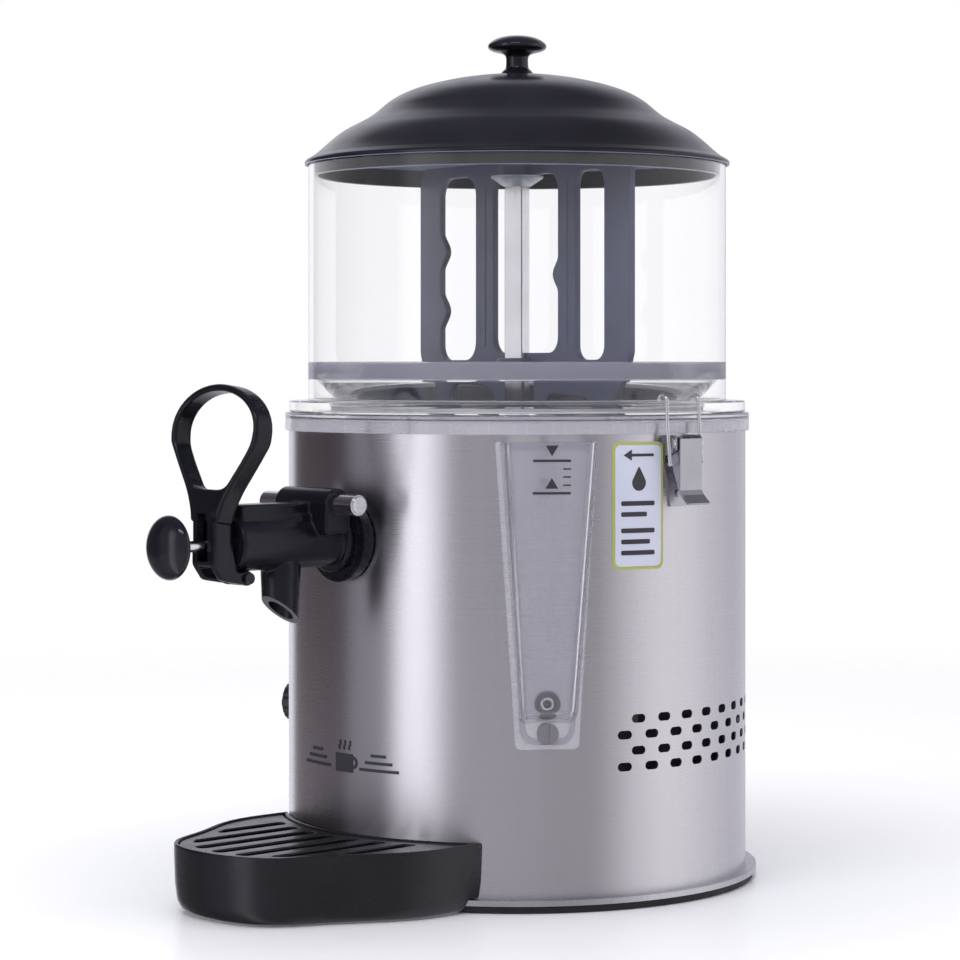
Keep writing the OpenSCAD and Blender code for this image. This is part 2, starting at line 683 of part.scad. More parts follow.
// mushroom knob on the rod
module tap_knob() color("#1c1c21") difference() {
  translate([0, 0, tap_z]) rotate([90, 0, 0]) rotate_extrude($fn = 96) polygon([
    [0, 244], [5, 244], [6, 246], [14.6, 246.2], [16.4, 247.2], [16.8, 248.6],
    [16.2, 250.4], [14, 252.8], [10.5, 254.9], [6, 256.2], [2, 256.6], [0, 256.6]]);
  ycyl(3, -240, -250, tap_z);
}

// round steel pin that locks the barrel
module lock_pin() color("#cfcfd3") translate([0, pin_y, pin_z]) {
  xcyl(5.6, 76);
  for (s = [-1, 1]) translate([s * 38.4, 0, 0]) xcyl(4.9, 1.2);
}

// ---------------------------------------------------------------- drip tray

function tray_pts(g) = [[80 - g, -60], [80 - g, -128], [78.6 - g, -140],
  [75 - g, -152], [69.5 - g, -163.5], [62.5 - g, -175], [56 - g, -186.5],
  [51.5 - g, -196], [46.5 - g, -206 + g * 0.3], [40 - g * 0.9, -214.5 + g * 0.6],
  [31 - g * 0.7, -221 + g * 0.85], [19 - g * 0.4, -225.4 + g],
  [7 - g * 0.1, -227.3 + g]];
module tray_2d(g) polygon(concat(tray_pts(g),
  [for (i = [12 : -1 : 0]) [-tray_pts(g)[i][0], tray_pts(g)[i][1]]]));

// tray shell with a rounded bottom edge and a grate ledge
module drip_tray() color("#19181c") difference() {
  hull() {
    translate([0, 0, 0]) linear_extrude(0.4) tray_2d(9);
    translate([0, 0, 2.2]) linear_extrude(0.4) tray_2d(4.4);
    translate([0, 0, 7]) linear_extrude(0.4) tray_2d(1.6);
    translate([0, 0, 16]) linear_extrude(0.4) tray_2d(0.5);
    translate([0, 0, tray_h - 0.4]) linear_extrude(0.4) tray_2d(0);
  }
  difference() {
    hull() {
      translate([0, 0, 3]) linear_extrude(0.4) tray_2d(13);
      translate([0, 0, 12]) linear_extrude(0.4) tray_2d(5.5);
      translate([0, 0, tray_h]) linear_extrude(0.4) tray_2d(5);
    }
    translate([0, 0, -1]) cylinder(r = body_r + 5.5, h = 60);
    translate([0, 0, -1]) cylinder(r = base_r + 3.5, h = 12);
  }
  difference() {
    translate([0, 0, 33]) linear_extrude(10) tray_2d(2.4);
    translate([0, 0, -1]) cylinder(r = body_r + 3, h = 60);
  }
  translate([0, 0, -1]) cylinder(r = body_r + 0.4, h = 60);
  translate([0, 0, -1]) cylinder(r = base_r + 0.4, h = 8.6);
}

// lift-out grate with slots running from front to back
module drip_grate() color("#201f23") difference() {
  translate([0, 0, 33]) linear_extrude(2.6) tray_2d(2.8);
  translate([0, 0, 0]) cylinder(r = body_r + 3.5, h = 60);
  intersection() {
    translate([0, 0, 30]) linear_extrude(8) tray_2d(9);
    difference() {
      translate([0, 0, 29]) cylinder(r = 400, h = 12);
      translate([0, 0, 28]) cylinder(r = body_r + 9, h = 14);
    }
    union() for (i = [-3 : 3]) translate([i * 17.5 - 4.25, -260, 29])
      cube([8.5, 220, 12]);
  }
}

// ---------------------------------------------------------------- controls

// capillary thermostat behind the casing
module thermostat_body() color("#c8c4ba") at_angle(knob_a) difference() {
  union() {
    translate([112, 0, 89]) cube([22, 34, 28], center = true);
    translate([120, 0, 91.5]) rotate([0, 90, 0]) cylinder(r = 4.9, h = 11, $fn = 48);
    translate([122, 0, 91.5]) rotate([0, 90, 0]) cylinder(r = 3, h = 18, $fn = 48);
  }
}

// temperature dial
module thermostat_knob() color("#1b1b1f") at_angle(knob_a) difference() {
  union() {
    translate([131.2, 0, 91.5]) rotate([0, 90, 0]) cylinder(r = 13.5, h = 2.2);
    translate([133.3, 0, 91.5]) rotate([0, 90, 0]) cylinder(r1 = 12, r2 = 10.8, h = 11.2);
    translate([139, 0, 91.5]) cube([11, 4, 22.6], center = true);
  }
  translate([120, 0, 91.5]) rotate([0, 90, 0]) cylinder(r = 3.06, h = 20.1, $fn = 48);
  translate([144.6, 0, 99.5]) cube([0.8, 1.4, 6], center = true);
}

// snap-in switch housing
module switch_housing() color("#1d1d20") at_angle(switch_a) difference() {
  union() {
    translate([122, 0, 91.5]) cube([20, 19, 28], center = true);
    translate([131.9, 0, 91.5]) cube([2.6, 22.5, 31.5], center = true);
    for (z = [-7, 0, 7]) translate([109, 0, 91.5 + z]) cube([8, 6, 0.8], center = true);
  }
  translate([129, 0, 91.5]) cube([12, 15.6, 24.6], center = true);
}

// lit rocker, pivoted on a cross pin
module switch_rocker() color("#7c1c18") at_angle(switch_a) difference() {
  translate([0, 7.4, 0]) rotate([90, 0, 0]) linear_extrude(14.8) polygon([
    [125.4, 82.6], [132.6, 80.6], [134.2, 80.9], [133, 91.5], [135.8, 102.1],
    [134.4, 102.6], [126.6, 100.4]]);
  translate([128.4, 0, 91.5]) rotate([90, 0, 0]) cylinder(r = 1.2, h = 20, center = true, $fn = 24);
}

// mains terminal block on the bottom plate
module terminal_block() color("#e4e2da") translate([0, 88, 7]) difference() {
  translate([-22, -9, 0]) cube([44, 18, 16]);
  for (x = [-15, -5, 5, 15]) translate([x, 0, 8]) cylinder(r = 2.6, h = 12, $fn = 24);
}

// empty inlet bush in the back of the casing
module cable_gland() color("#1d1d20") at_angle(90) difference() {
  union() {
    difference() {
      translate([128, 0, 32]) rotate([0, 90, 0]) cylinder(r = 12, h = 6.5, $fn = 6);
      translate([0, 0, 10]) cylinder(r = body_r, h = 50);
    }
    translate([118, 0, 32]) rotate([0, 90, 0]) cylinder(r = 8, h = 16, $fn = 48);
    translate([134, 0, 32]) rotate([0, 90, 0]) cylinder(r1 = 9.5, r2 = 7, h = 9, $fn = 48);
    translate([119, 0, 32]) rotate([0, 90, 0]) cylinder(r = 11, h = 4, $fn = 6);
  }
  translate([110, 0, 32]) rotate([0, 90, 0]) cylinder(r = 4, h = 50, $fn = 48);
}

// ---------------------------------------------------------------- drawing

foot_ring();
base_plate();
base_screws();
casing();
water_tank();
heating_element();
safety_thermostat();
inner_pot();
outlet_tube();
center_tube();
gearmotor();
motor_bracket();
drive_shaft();
shaft_bushes();
top_collar();
bowl_gasket();
bowl();
stirrer_hub();
stirrer_paddle();
paddle_nut();
lid();
lid_knob();
lid_screw();
water_gauge();
gauge_gasket();
gauge_screw();
gauge_marks();
gauge_tube();
label();
label_print();
emblem();
right_latch_base();
right_latch_pin();
right_latch_lever();
right_latch_bail();
left_latch_base();
left_latch_pin();
left_latch_lever();
left_latch_bail();
tap_gasket();
tap_flange();
tap_body();
tap_piston();
piston_orings();
tap_rod();
rod_pin();
tap_spring();
tap_handle();
handle_pin();
tap_knob();
lock_pin();
drip_tray();
drip_grate();
thermostat_body();
thermostat_knob();
switch_housing();
switch_rocker();
terminal_block();
cable_gland();
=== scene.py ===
import json
import math

import bmesh
import bpy
from mathutils import Matrix, Vector


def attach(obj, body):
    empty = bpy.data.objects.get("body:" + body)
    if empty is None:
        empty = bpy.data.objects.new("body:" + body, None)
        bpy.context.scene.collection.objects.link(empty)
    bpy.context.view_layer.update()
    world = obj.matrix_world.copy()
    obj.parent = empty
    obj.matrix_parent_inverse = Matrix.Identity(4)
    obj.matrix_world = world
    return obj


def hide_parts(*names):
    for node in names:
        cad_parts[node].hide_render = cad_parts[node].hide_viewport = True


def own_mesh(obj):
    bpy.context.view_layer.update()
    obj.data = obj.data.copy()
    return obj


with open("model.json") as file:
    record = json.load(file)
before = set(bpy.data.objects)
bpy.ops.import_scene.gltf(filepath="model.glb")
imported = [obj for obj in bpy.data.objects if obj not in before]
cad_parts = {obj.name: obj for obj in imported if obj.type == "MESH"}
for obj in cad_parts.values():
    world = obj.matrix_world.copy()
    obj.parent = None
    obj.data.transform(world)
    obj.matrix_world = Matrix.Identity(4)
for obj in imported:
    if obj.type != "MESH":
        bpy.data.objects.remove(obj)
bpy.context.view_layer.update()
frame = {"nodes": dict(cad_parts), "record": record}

M = 0.001
RECORD = frame["record"]
BODY_OF = {n: b for b, ns in RECORD["behaviour"]["bodies"].items() for n in ns}
TAU = 2 * math.pi


# ------------------------------------------------------------------ mesh tools
def finish_mesh(me, angle=38):
    bm = bmesh.new()
    bm.from_mesh(me)
    bmesh.ops.remove_doubles(bm, verts=bm.verts, dist=1e-6)
    bmesh.ops.recalc_face_normals(bm, faces=bm.faces)
    bm.to_mesh(me)
    bm.free()
    me.shade_smooth()
    me.set_sharp_from_angle(angle=math.radians(angle))
    return me


def mesh(name, verts, faces, angle=38):
    me = bpy.data.meshes.new(name)
    me.from_pydata([tuple(v) for v in verts], [], faces)
    return finish_mesh(me, angle)


def raw(name, me):
    ob = bpy.data.objects.new(name, me)
    bpy.context.scene.collection.objects.link(ob)
    return ob


def baked(ob, angle=38, keep=False):
    """The object's mesh with its modifiers applied, as a new mesh."""
    bpy.context.view_layer.update()
    dg = bpy.context.evaluated_depsgraph_get()
    me = bpy.data.meshes.new_from_object(ob.evaluated_get(dg))
    me.transform(ob.matrix_world)
    if not keep:
        bpy.data.objects.remove(ob, do_unlink=True)
    return finish_mesh(me, angle)


def join(name, meshes):
    bm = bmesh.new()
    for me in meshes:
        bm.from_mesh(me)
    out = bpy.data.meshes.new(name)
    bm.to_mesh(out)
    bm.free()
    return out


def move(me, mat):
    me.transform(mat)
    return me


def rot_z(a):
    return Matrix.Rotation(math.radians(a), 4, "Z")


# profile in the (radius, height) plane, turned about Z
def revolve(name, prof, seg=192, closed=True, angle=38):
    verts, faces, rings = [], [], []
    for r, z in prof:
        if r < 1e-7:
            rings.append([len(verts)])
            verts.append((0, 0, z))
        else:
            rings.append(list(range(len(verts), len(verts) + seg)))
            verts += [(r * math.cos(TAU * i / seg), r * math.sin(TAU * i / seg), z) for i in range(seg)]
    n = len(rings)
    for k in range(n if closed else n - 1):
        a, b = rings[k], rings[(k + 1) % n]
        if len(a) == 1 and len(b) == 1:
            continue
        for i in range(seg):
            j = (i + 1) % seg
            if len(a) == 1:
                faces.append((a[0], b[i], b[j]))
            elif len(b) == 1:
                faces.append((a[i], a[j], b[0]))
            else:
                faces.append((a[i], a[j], b[j], b[i]))
    return mesh(name, verts, faces, angle)


def fillet(pts, rad, n=5, closed=True):
    """Rounds the corners of a polygon. rad is one radius or one for each point."""
    out = []
    m = len(pts)
    rr = rad if isinstance(rad, (list, tuple)) else [rad] * m
    for i in range(m):
        p = Vector(pts[i])
        if not closed and i in (0, m - 1) or rr[i] <= 0:
            out.append(tuple(p))
            continue
        a, b = Vector(pts[i - 1]), Vector(pts[(i + 1) % m])
        u, v = (a - p), (b - p)
        la, lb = u.length, v.length
        if la < 1e-9 or lb < 1e-9:
            continue
        u.normalize()
        v.normalize()
        c = max(-1, min(1, u.dot(v)))
        half = math.acos(c) / 2
        if half > math.radians(88) or half < 1e-3:
            out.append(tuple(p))
            continue
        d = min(rr[i] / math.tan(half), 0.48 * la, 0.48 * lb)
        r = d * math.tan(half)
        ctr = p + (u + v).normalized() * (r / math.sin(half))
        s, e = p + u * d - ctr, p + v * d - ctr
        ang = s.angle_signed(e) if len(s) == 2 else 0
        for k in range(n + 1):
            w = -ang * k / n
            out.append((ctr.x + s.x * math.cos(w) - s.y * math.sin(w), ctr.y + s.x * math.sin(w) + s.y * math.cos(w)))
    return out


def spline(pts, n=6):
    """Catmull-Rom curve through open points."""
    out = []
    for i in range(len(pts) - 1):
        p0 = Vector(pts[max(i - 1, 0)])
        p1, p2 = Vector(pts[i]), Vector(pts[i + 1])
        p3 = Vector(pts[min(i + 2, len(pts) - 1)])
        for k in range(n):
            t = k / n
            out.append(
                tuple(
                    0.5
                    * (2 * p1 + (p2 - p0) * t + (2 * p0 - 5 * p1 + 4 * p2 - p3) * t * t + (3 * p1 - p0 - 3 * p2 + p3) * t**3)
                )
            )
    out.append(tuple(pts[-1]))
    return out


def loft(name, rings, cap_start=True, cap_end=True, closed_path=False, angle=38):
    """Skins rings of equal point count."""
    verts, faces = [], []
    n = len(rings[0])
    for r in rings:
        verts += [tuple(v) for v in r]
    m = len(rings)
    for k in range(m if closed_path else m - 1):
        a, b = k * n, ((k + 1) % m) * n
        for i in range(n):
            j = (i + 1) % n
            faces.append((a + i, a + j, b + j, b + i))
    if not closed_path:
        if cap_start:
            faces.append(tuple(range(n - 1, -1, -1)))
        if cap_end:
            faces.append(tuple(range((m - 1) * n, m * n)))
    return mesh(name, verts, faces, angle)


def rbox(name, lo, hi, r=0.8, seg=3, angle=38):
    """Box with rounded edges, millimetres."""
    bm = bmesh.new()
    bmesh.ops.create_cube(bm, size=1)
    for v in bm.verts:
        v.co = Vector([(lo[i] + hi[i]) / 2 + v.co[i] * (hi[i] - lo[i]) for i in range(3)]) * M
    bmesh.ops.bevel(bm, geom=list(bm.edges), offset=r * M, segments=seg, affect="EDGES", profile=0.5)
    me = bpy.data.meshes.new(name)
    bm.to_mesh(me)
    bm.free()
    return finish_mesh(me, angle)


def rcyl(name, r, z0, z1, ch=0.4, seg=64, bore=0.0, r2=None, n=3, angle=38):
    """Cylinder about Z with rounded rims, optional bore, millimetres."""
    r2 = r if r2 is None else r2
    if bore:
        prof = fillet([(bore, z0), (r, z0), (r2, z1), (bore, z1)], [0.1, ch, ch, ch * 0.5], n)
    else:
        prof = [(0, z0)] + fillet([(0, z0), (r, z0), (r2, z1), (0, z1)], [0, ch, ch, 0], n)[1:-1] + [(0, z1)]
    return revolve(name, [(a * M, b * M) for a, b in prof], seg, closed=bool(bore), angle=angle)


def along(me, origin, direction):
    """Turns a mesh built about Z so that Z points along direction, at origin (mm)."""
    d = Vector(direction).normalized()
    q = Vector((0, 0, 1)).rotation_difference(d)
    me.transform(Matrix.Translation(Vector(origin) * M) @ q.to_matrix().to_4x4())
    return me


def plate(name, loops, t, bevel, res=2):
    """Flat plate from closed 2D loops in mm (first is the outline), thickness t in mm, in the XY plane about z=0."""
    cu = bpy.data.curves.new(name, "CURVE")
    cu.dimensions = "2D"
    cu.fill_mode = "BOTH"
    cu.extrude = (t / 2 - bevel) * M
    cu.bevel_depth = bevel * M
    cu.bevel_resolution = res
    cu.offset = -bevel * M
    for lp in loops:
        sp = cu.splines.new("POLY")
        sp.points.add(len(lp) - 1)
        for p, q in zip(sp.points, lp):
            p.co = (q[0] * M, q[1] * M, 0, 1)
        sp.use_cyclic_u = True
    ob = bpy.data.objects.new(name, cu)
    bpy.context.scene.collection.objects.link(ob)
    me = baked(ob, 30)
    bpy.data.curves.remove(cu)
    return me


def boolean(a, b, op="DIFFERENCE", angle=38):
    oa, obb = raw("tmp_a", a), raw("tmp_b", b)
    md = oa.modifiers.new("b", "BOOLEAN")
    md.operation = op
    md.solver = "EXACT"
    md.object = obb
    me = baked(oa, angle)
    bpy.data.objects.remove(obb, do_unlink=True)
    return me


def remeshed(me, voxel, smooth=3, factor=0.5, angle=60):
    ob = raw("tmp_r", me)
    md = ob.modifiers.new("r", "REMESH")
    md.mode = "VOXEL"
    md.voxel_size = voxel * M
    md.use_smooth_shade = True
    if smooth:
        sm = ob.modifiers.new("s", "SMOOTH")
        sm.factor = factor
        sm.iterations = smooth
    return baked(ob, angle)


def circle(cx, cy, r, n=48, a0=0.0, a1=360.0, end=False):
    k = n if end else n
    return [
        (cx + r * math.cos(math.radians(a0 + (a1 - a0) * i / k)), cy + r * math.sin(math.radians(a0 + (a1 - a0) * i / k)))
        for i in range(k + (1 if end else 0))
    ]


def rrect(x0, x1, y0, y1, r, n=6):
    return fillet([(x0, y0), (x1, y0), (x1, y1), (x0, y1)], r, n)


PIECES = []


def piece(name, me, node, mat, replaces=True, body=None):
    """A finished piece: rides on its node's body, and stands for the node."""
    ob = raw(name, me)
    me.materials.clear()
    me.materials.append(mat)
    wn = ob.modifiers.new("flat_faces", "WEIGHTED_NORMAL")
    wn.mode = "FACE_AREA"
    wn.weight = 50
    wn.keep_sharp = True
    nodes = (node,) if isinstance(node, str) else tuple(node)
    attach(ob, body or BODY_OF[nodes[0]])
    if replaces:
        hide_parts(*nodes)
    PIECES.append(ob)
    return ob


# ------------------------------------------------------------------ materials
def nodes_of(name):
    m = bpy.data.materials.new(name)
    m.use_nodes = True
    nt = m.node_tree
    return m, nt, nt.nodes["Principled BSDF"]


def add(nt, kind, **kw):
    n = nt.nodes.new(kind)
    for k, v in kw.items():
        setattr(n, k, v)
    return n


def math_node(nt, op, a, b=None, c=None, clamp=False):
    n = add(nt, "ShaderNodeMath", operation=op, use_clamp=clamp)
    for i, v in enumerate((a, b, c)):
        if v is None:
            continue
        if isinstance(v, (int, float)):
            n.inputs[i].default_value = v
        else:
            nt.links.new(v, n.inputs[i])
    return n.outputs[0]


def coords(nt, scale=(1, 1, 1)):
    tc = add(nt, "ShaderNodeTexCoord")
    mp = add(nt, "ShaderNodeMapping")
    mp.inputs["Scale"].default_value = scale
    nt.links.new(tc.outputs["Object"], mp.inputs["Vector"])
    return mp.outputs[0]


def around(nt, ka, kz, kr=0.0, center=(0, 0)):
    """Vector (angle * ka, z * kz, radius * kr) about the Z axis."""
    tc = add(nt, "ShaderNodeTexCoord")
    sp = add(nt, "ShaderNodeSeparateXYZ")
    nt.links.new(tc.outputs["Object"], sp.inputs[0])
    x = math_node(nt, "SUBTRACT", sp.outputs[0], center[0])
    y = math_node(nt, "SUBTRACT", sp.outputs[1], center[1])
    a = math_node(nt, "ARCTAN2", y, x)
    r = math_node(nt, "SQRT", math_node(nt, "ADD", math_node(nt, "MULTIPLY", x, x), math_node(nt, "MULTIPLY", y, y)))
    cb = add(nt, "ShaderNodeCombineXYZ")
    nt.links.new(math_node(nt, "MULTIPLY", a, ka), cb.inputs[0])
    nt.links.new(math_node(nt, "MULTIPLY", sp.outputs[2], kz), cb.inputs[1])
    nt.links.new(math_node(nt, "MULTIPLY", r, kr), cb.inputs[2])
    return cb.outputs[0], sp, a


def noise(nt, vec, scale, detail=3, rough=0.5, w=None):
    n = add(nt, "ShaderNodeTexNoise")
    n.inputs["Scale"].default_value = scale
    n.inputs["Detail"].default_value = detail
    n.inputs["Roughness"].default_value = rough
    nt.links.new(vec, n.inputs["Vector"])
    return n.outputs["Fac"]


def ramp(nt, fac, stops):
    r = add(nt, "ShaderNodeValToRGB")
    while len(r.color_ramp.elements) > 1:
        r.color_ramp.elements.remove(r.color_ramp.elements[-1])
    r.color_ramp.elements[0].position = stops[0][0]
    r.color_ramp.elements[0].color = tuple(stops[0][1]) + (1,) if len(stops[0][1]) == 3 else stops[0][1]
    for p, c in stops[1:]:
        e = r.color_ramp.elements.new(p)
        e.color = tuple(c) + (1,) if len(c) == 3 else c
    nt.links.new(fac, r.inputs[0])
    return r.outputs[0]


def remap(nt, fac, lo, hi, a=0.3, b=0.7):
    n = add(nt, "ShaderNodeMapRange")
    n.inputs["From Min"].default_value = a
    n.inputs["From Max"].default_value = b
    n.inputs["To Min"].default_value = lo
    n.inputs["To Max"].default_value = hi
    nt.links.new(fac, n.inputs["Value"])
    return n.outputs[0]


def bump(nt, bsdf, height, strength, dist, prev=None):
    b = add(nt, "ShaderNodeBump")
    b.inputs["Strength"].default_value = strength
    b.inputs["Distance"].default_value = dist
    nt.links.new(height, b.inputs["Height"])
    if prev is not None:
        nt.links.new(prev, b.inputs["Normal"])
    nt.links.new(b.outputs[0], bsdf.inputs["Normal"])
    return b.outputs[0]


def mixc(nt, fac, a, b):
    n = add(nt, "ShaderNodeMix", data_type="RGBA")
    if isinstance(fac, (int, float)):
        n.inputs[0].default_value = fac
    else:
        nt.links.new(fac, n.inputs[0])
    for i, v in ((6, a), (7, b)):
        if isinstance(v, (tuple, list)):
            n.inputs[i].default_value = tuple(v) + (1,) if len(v) == 3 else v
        else:
            nt.links.new(v, n.inputs[i])
    return n.outputs[2]


def plastic(name, col, rough=(0.3, 0.42), grain=2200, depth=0.25, spec=0.5, var=0.18, coat=0.0, speck=True, wear=0.0):
    """Moulded plastic: fine grain, slow roughness clouds, slight colour drift and lighter worn edges."""
    m, nt, b = nodes_of(name)
    v = coords(nt)
    slow = noise(nt, v, 18, 3)
    dark = tuple(c * (1 - var) for c in col)
    light = tuple(min(1, c * (1 + var) + 0.002) for c in col)
    c = mixc(nt, remap(nt, slow, 0, 1), dark, light)
    if wear:
        geo = add(nt, "ShaderNodeNewGeometry")
        edge = remap(nt, geo.outputs["Pointiness"], 0, 1, 0.52, 0.6)
        scr = math_node(nt, "MULTIPLY", edge, remap(nt, noise(nt, v, 260, 4), 0.1, 1, 0.35, 0.65), clamp=True)
        c = mixc(nt, math_node(nt, "MULTIPLY", scr, wear), c, tuple(min(1, x * 3 + 0.05) for x in col))
    nt.links.new(c, b.inputs["Base Color"])
    fine = noise(nt, v, grain, 2)
    mid = noise(nt, v, 90, 4)
    nt.links.new(remap(nt, mid, rough[0], rough[1]), b.inputs["Roughness"])
    b.inputs["Specular IOR Level"].default_value = spec
    b.inputs["Coat Weight"].default_value = coat
    b.inputs["Coat Roughness"].default_value = 0.08
    if speck:
        bump(nt, b, fine, depth, 0.00006)
    return m


def metal(name, col, rough=(0.14, 0.24), axis="Z", aniso=0.0, lines=1400, depth=0.12, var=0.06):
    """Turned or drawn bright metal with fine lines along its length."""
    m, nt, b = nodes_of(name)
    s = {"X": (30, lines, lines), "Y": (lines, 30, lines), "Z": (lines, lines, 30), "O": (lines, lines, lines)}[axis]
    v = coords(nt, s)
    st = noise(nt, v, 1.0, 3)
    cl = noise(nt, coords(nt), 40, 3)
    c = mixc(nt, remap(nt, cl, 0, 1), tuple(x * (1 - var) for x in col), tuple(min(1, x * (1 + var)) for x in col))
    nt.links.new(c, b.inputs["Base Color"])
    b.inputs["Metallic"].default_value = 1.0
    nt.links.new(remap(nt, st, rough[0], rough[1]), b.inputs["Roughness"])
    b.inputs["Anisotropic"].default_value = aniso
    bump(nt, b, st, depth, 0.00003)
    return m


def casing_steel(name, col=(0.62, 0.605, 0.63)):
    """Sheet brushed around the body: long fine lines, faint weather marks, handling haze."""
    m, nt, b = nodes_of(name)
    v, sp, a = around(nt, 1.6, 2600.0)
    lines = noise(nt, v, 1.0, 3, 0.5)
    v2, _, _ = around(nt, 9.0, 6.0)
    broad = noise(nt, v2, 1.0, 3, 0.5)
    cloud = noise(nt, coords(nt), 9, 4)
    both = math_node(nt, "ADD", math_node(nt, "MULTIPLY", lines, 0.6), math_node(nt, "MULTIPLY", broad, 0.4))
    c = mixc(nt, remap(nt, both, 0, 1, 0.32, 0.68), tuple(x * 0.965 for x in col), tuple(min(1, x * 1.03) for x in col))
    c = mixc(nt, remap(nt, cloud, 0, 0.1, 0.4, 0.75), c, tuple(x * 0.86 for x in col))
    nt.links.new(c, b.inputs["Base Color"])
    b.inputs["Metallic"].default_value = 1.0
    rg = math_node(nt, "ADD", remap(nt, both, 0.24, 0.3, 0.3, 0.7), remap(nt, cloud, 0.0, 0.03))
    nt.links.new(rg, b.inputs["Roughness"])
    b.inputs["Anisotropic"].default_value = 0.75
    b.inputs["Anisotropic Rotation"].default_value = 0.25
    tg = add(nt, "ShaderNodeTangent", direction_type="RADIAL", axis="Z")
    nt.links.new(tg.outputs[0], b.inputs["Tangent"])
    bump(nt, b, lines, 0.05, 0.00002)
    return m


def painted_underside_reflection(m, col):
    """Painted reflection: down-facing faces get a paler bluish base colour that stands in for the sky reflected in the
    black plastic.
    """
    nt = m.node_tree
    b = nt.nodes["Principled BSDF"]
    geo = add(nt, "ShaderNodeNewGeometry")
    tf = add(nt, "ShaderNodeVectorTransform", vector_type="NORMAL", convert_from="WORLD", convert_to="OBJECT")
    nt.links.new(geo.outputs["Normal"], tf.inputs[0])
    z = add(nt, "ShaderNodeSeparateXYZ")
    nt.links.new(tf.outputs[0], z.inputs[0])
    # mask of the down-facing faces that carry the painted reflection
    down = remap(nt, math_node(nt, "MULTIPLY", z.outputs[2], -1.0), 0, 1, 0.12, 0.4)
    old = b.inputs["Base Color"].links[0].from_socket
    nt.links.new(mixc(nt, down, old, col), b.inputs["Base Color"])


def grey_diffuse_band(m, z0, z1, col, amount):
    """Grey diffuse and translucent band mixed into a clear moulding between two heights."""
    nt = m.node_tree
    out = nt.nodes["Material Output"]
    tc = add(nt, "ShaderNodeTexCoord")
    z = add(nt, "ShaderNodeSeparateXYZ")
    nt.links.new(tc.outputs["Object"], z.inputs[0])
    lo = remap(nt, z.outputs[2], 0, 1, (z0 - 0.8) * M, z0 * M)
    hi = remap(nt, z.outputs[2], 1, 0, z1 * M, (z1 + 0.8) * M)
    band = math_node(nt, "MULTIPLY", math_node(nt, "MULTIPLY", lo, hi), amount)
    df = add(nt, "ShaderNodeBsdfDiffuse")
    df.inputs[0].default_value = (*col, 1)
    tl = add(nt, "ShaderNodeBsdfTranslucent")
    tl.inputs[0].default_value = (*col, 1)
    half = add(nt, "ShaderNodeMixShader")
    nt.links.new(df.outputs[0], half.inputs[1])
    nt.links.new(tl.outputs[0], half.inputs[2])
    mx = add(nt, "ShaderNodeMixShader")
    nt.links.new(band, mx.inputs[0])
    nt.links.new(out.inputs["Surface"].links[0].from_socket, mx.inputs[1])
    nt.links.new(half.outputs[0], mx.inputs[2])
    nt.links.new(mx.outputs[0], out.inputs["Surface"])


def clear(name, tint=(0.97, 0.97, 0.99), rough=0.02, ior=1.47, haze=0.0):
    """Clear moulding that lets lamps through, with faint flow marks."""
    m, nt, b = nodes_of(name)
    out = nt.nodes["Material Output"]
    v = coords(nt)
    flow = noise(nt, v, 14, 3)
    c = mixc(nt, remap(nt, flow, 0, 1), tint, tuple(min(1, t * 1.01) for t in tint))
    nt.links.new(c, b.inputs["Base Color"])
    b.inputs["Transmission Weight"].default_value = 1.0
    b.inputs["IOR"].default_value = ior
    b.inputs["Roughness"].default_value = rough
    bump(nt, b, flow, 0.04, 0.0004)
    lp = add(nt, "ShaderNodeLightPath")
    tr = add(nt, "ShaderNodeBsdfTransparent")
    tr.inputs[0].default_value = (0.93, 0.93, 0.95, 1)
    mx = add(nt, "ShaderNodeMixShader")
    nt.links.new(lp.outputs["Is Shadow Ray"], mx.inputs[0])
    nt.links.new(b.outputs[0], mx.inputs[1])
    nt.links.new(tr.outputs[0], mx.inputs[2])
    nt.links.new(mx.outputs[0], out.inputs["Surface"])
    return m


